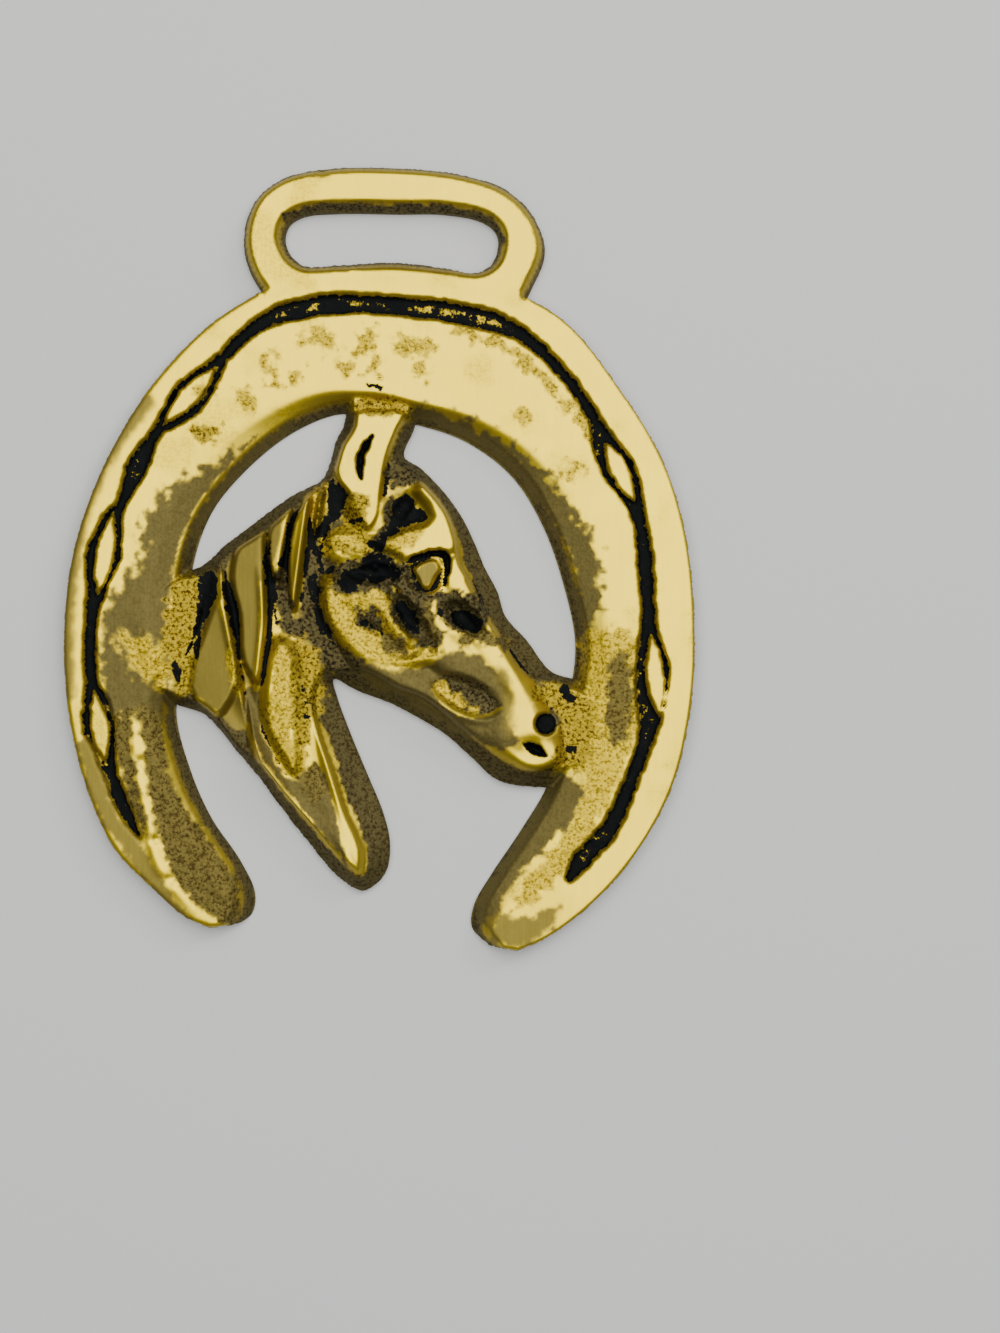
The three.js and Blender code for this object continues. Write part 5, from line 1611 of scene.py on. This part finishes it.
@dataclass(frozen=True)
class CastBrass:
    """Sand-cast yellow brass, its face belt-ground and polished.

    Its high places reflect like a soft gold mirror with fine streaks across them; where the
    wheel didn't reach it is olive-brown and dull, slopes are painted the same olive-brown as
    shade, and black lacquer fills its hollows.
    """

    polished: str = "#F9DB2A"
    worn: str = "#E8C428"
    tarnished_and_shaded: str = "#6A613C"
    fired: str = "#3A2612"
    lacquer: str = "#06090A"
    grain_mm: float = 0.35
    cloud_mm: float = 6.0
    # Belt marks are a few hundredths of a millimetre apart; they are drawn coarser to show.
    streak_mm: float = 0.22
    streak_turn: float = -60.0
    streak_length: float = 0.06
    # Between the sand's grains the metal is dark, and lacquer keeps to what is deep.
    pits_from: float = 0.4
    pits_to: float = 0.53
    pits_dark: float = 0.9
    lacquer_from: float = 0.28
    lacquer_to: float = 0.42
    polished_roughness: float = 0.24
    dull_roughness: float = 0.58
    streak_roughness: float = 0.16
    specular_level: float = 0.12
    grain_bump_mm: float = 0.13
    streak_bump_mm: float = 0.02

    def material(self) -> bpy.types.Material:
        """Builds the material.

        Returns:
            The material, on Object coordinates and the casting's own attributes.
        """
        material = bpy.data.materials.new("sand_cast_polished_brass")
        material.use_nodes = True
        tree = material.node_tree
        shader = tree.nodes["Principled BSDF"]
        place = add_node(tree, "TexCoord").outputs["Object"]
        tarnish, stain, grain = (
            add_node(tree, "Attribute", attribute_name=kind.value).outputs["Fac"] for kind in Finish
        )
        sand = add_node(tree, "TexNoise", {"Vector": place, "Scale": 1 / (self.grain_mm * MM),
                                           "Detail": 4.0, "Roughness": 0.65})
        cloud = add_node(tree, "TexNoise", {"Vector": place, "Scale": 1 / (self.cloud_mm * MM),
                                            "Detail": 4.0})
        along = add_node(tree, "Mapping", {"Vector": place, "Scale": (1, self.streak_length, 1),
                                           "Rotation": (0, 0, math.radians(self.streak_turn))})
        streak = add_node(tree, "TexNoise", {"Vector": along, "Scale": 1 / (self.streak_mm * MM),
                                             "Detail": 2.0})
        pits = add_node(tree, "MapRange", {"Value": sand, "From Min": self.pits_from,
                                           "From Max": self.pits_to, "To Min": self.pits_dark,
                                           "To Max": 0.0})
        flecks = add_node(tree, "Math", {0: pits, 1: grain}, operation="MULTIPLY")
        depth = add_node(tree, "Math", {0: sand, 1: -2.0, 2: 2.0}, operation="MULTIPLY_ADD")
        filled = add_node(tree, "Math", {0: depth, 1: stain}, operation="MULTIPLY")
        dark = add_node(tree, "MapRange", {"Value": filled, "From Min": self.lacquer_from,
                                           "From Max": self.lacquer_to})
        # each colour lies over the ones before it
        colour = hex_colour(self.polished)
        # the olive layer is tarnish, and painted shade on what leans
        for share, layer in ((cloud, self.worn), (tarnish, self.tarnished_and_shaded), (flecks, self.fired),
                             (dark, self.lacquer)):
            over = {0: share, 6: colour, 7: hex_colour(layer)}
            colour = add_node(tree, "Mix", over, data_type="RGBA").outputs[2]
        tree.links.new(colour, shader.inputs["Base Color"])
        shader.inputs["Specular IOR Level"].default_value = self.specular_level
        metal = add_node(tree, "MapRange", {"Value": dark, "To Min": 1.0, "To Max": 0.05})
        tree.links.new(metal.outputs[0], shader.inputs["Metallic"])
        dull = add_node(tree, "Math", {0: grain, 1: tarnish}, operation="MAXIMUM")
        dull = add_node(tree, "Math", {0: dull, 1: dark}, operation="MAXIMUM")
        gloss = add_node(tree, "MapRange", {"Value": dull, "To Min": self.polished_roughness,
                                            "To Max": self.dull_roughness})
        satin = add_node(tree, "Math", {0: streak, 1: self.streak_roughness, 2: gloss},
                         operation="MULTIPLY_ADD")
        tree.links.new(satin.outputs[0], shader.inputs["Roughness"])
        rough = add_node(tree, "MapRange", {"Value": grain, "To Min": 0.05, "To Max": 0.9})
        bump = add_node(tree, "Bump", {"Strength": rough, "Distance": self.grain_bump_mm * MM,
                                       "Height": sand})
        bump = add_node(tree, "Bump", {"Strength": 0.22, "Distance": self.streak_bump_mm * MM,
                                       "Height": streak, "Normal": bump})
        tree.links.new(bump.outputs[0], shader.inputs["Normal"])
        return material


# ------------------------------------------------------------------ where it lies


@dataclass(frozen=True)
class Lamp:
    """A soft square lamp, in metres and watts, aimed at the object."""

    name: str
    at: tuple[float, float, float]
    size: float
    watts: float

    def light(self) -> None:
        """Puts the lamp in its place."""
        light = bpy.data.lights.new(self.name, "AREA")
        light.size, light.energy = self.size, self.watts
        obj = bpy.data.objects.new(self.name, light)
        obj.location = self.at
        obj.rotation_euler = (-Vector(self.at)).to_track_quat("-Z", "Y").to_euler()
        bpy.context.scene.collection.objects.link(obj)


@dataclass
class Studio:
    """A pale floor, soft light from overhead, and a camera looking straight down."""

    camera_at_mm: tuple[float, float, float] = (13.04, -11.47, 260.0)
    turn: float = 2.2
    lens: float = 64.7
    floor_half: float = 4.0
    floor_colour: str = "#DEDEDB"
    floor_roughness: float = 0.9
    sky_colour: str = "#C6CBCE"
    sky_strength: float = 0.36
    lamps: tuple[Lamp, ...] = (
        Lamp("overhead", (0.02, 0.1, 0.5), 0.6, 3.4),
        Lamp("window", (0.5, 0.45, 0.45), 0.22, 1.3),
    )

    def build(self) -> None:
        """Makes the floor, the lamps, the sky and the camera."""
        bpy.ops.object.select_all(action="DESELECT")
        bpy.ops.mesh.primitive_plane_add(size=2 * self.floor_half, location=(0, 0, 0))
        floor = bpy.context.object
        floor.name = "studio_floor"
        paper = bpy.data.materials.new("matt_backdrop_paper")
        paper.use_nodes = True
        shader = paper.node_tree.nodes["Principled BSDF"]
        shader.inputs["Base Color"].default_value = hex_colour(self.floor_colour)
        shader.inputs["Roughness"].default_value = self.floor_roughness
        floor.data.materials.append(paper)
        for lamp in self.lamps:
            lamp.light()
        world = bpy.data.worlds.new("studio_sky")
        bpy.context.scene.world = world
        world.use_nodes = True
        sky = world.node_tree.nodes["Background"]
        sky.inputs["Color"].default_value = hex_colour(self.sky_colour)
        sky.inputs["Strength"].default_value = self.sky_strength
        camera = bpy.data.cameras.new("view_from_above")
        camera.lens, camera.sensor_width = self.lens, 36.0
        camera.clip_start, camera.clip_end = 0.01, 10.0
        obj = bpy.data.objects.new("view_from_above", camera)
        obj.location = [v * MM for v in self.camera_at_mm]
        obj.rotation_euler = (0, 0, math.radians(self.turn))
        bpy.context.scene.collection.objects.link(obj)
        bpy.context.scene.camera = obj


def main() -> None:
    """Builds the horse brass and its studio."""
    logging.basicConfig(level=logging.INFO)
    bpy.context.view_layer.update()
    casting = HorseBrass().build()
    casting.data.materials.append(CastBrass().material())
    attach(casting, "root")
    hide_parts("horse_brass")
    log.info("piece: %s", casting.name)
    Studio().build()


if __name__ == "__main__":
    main()
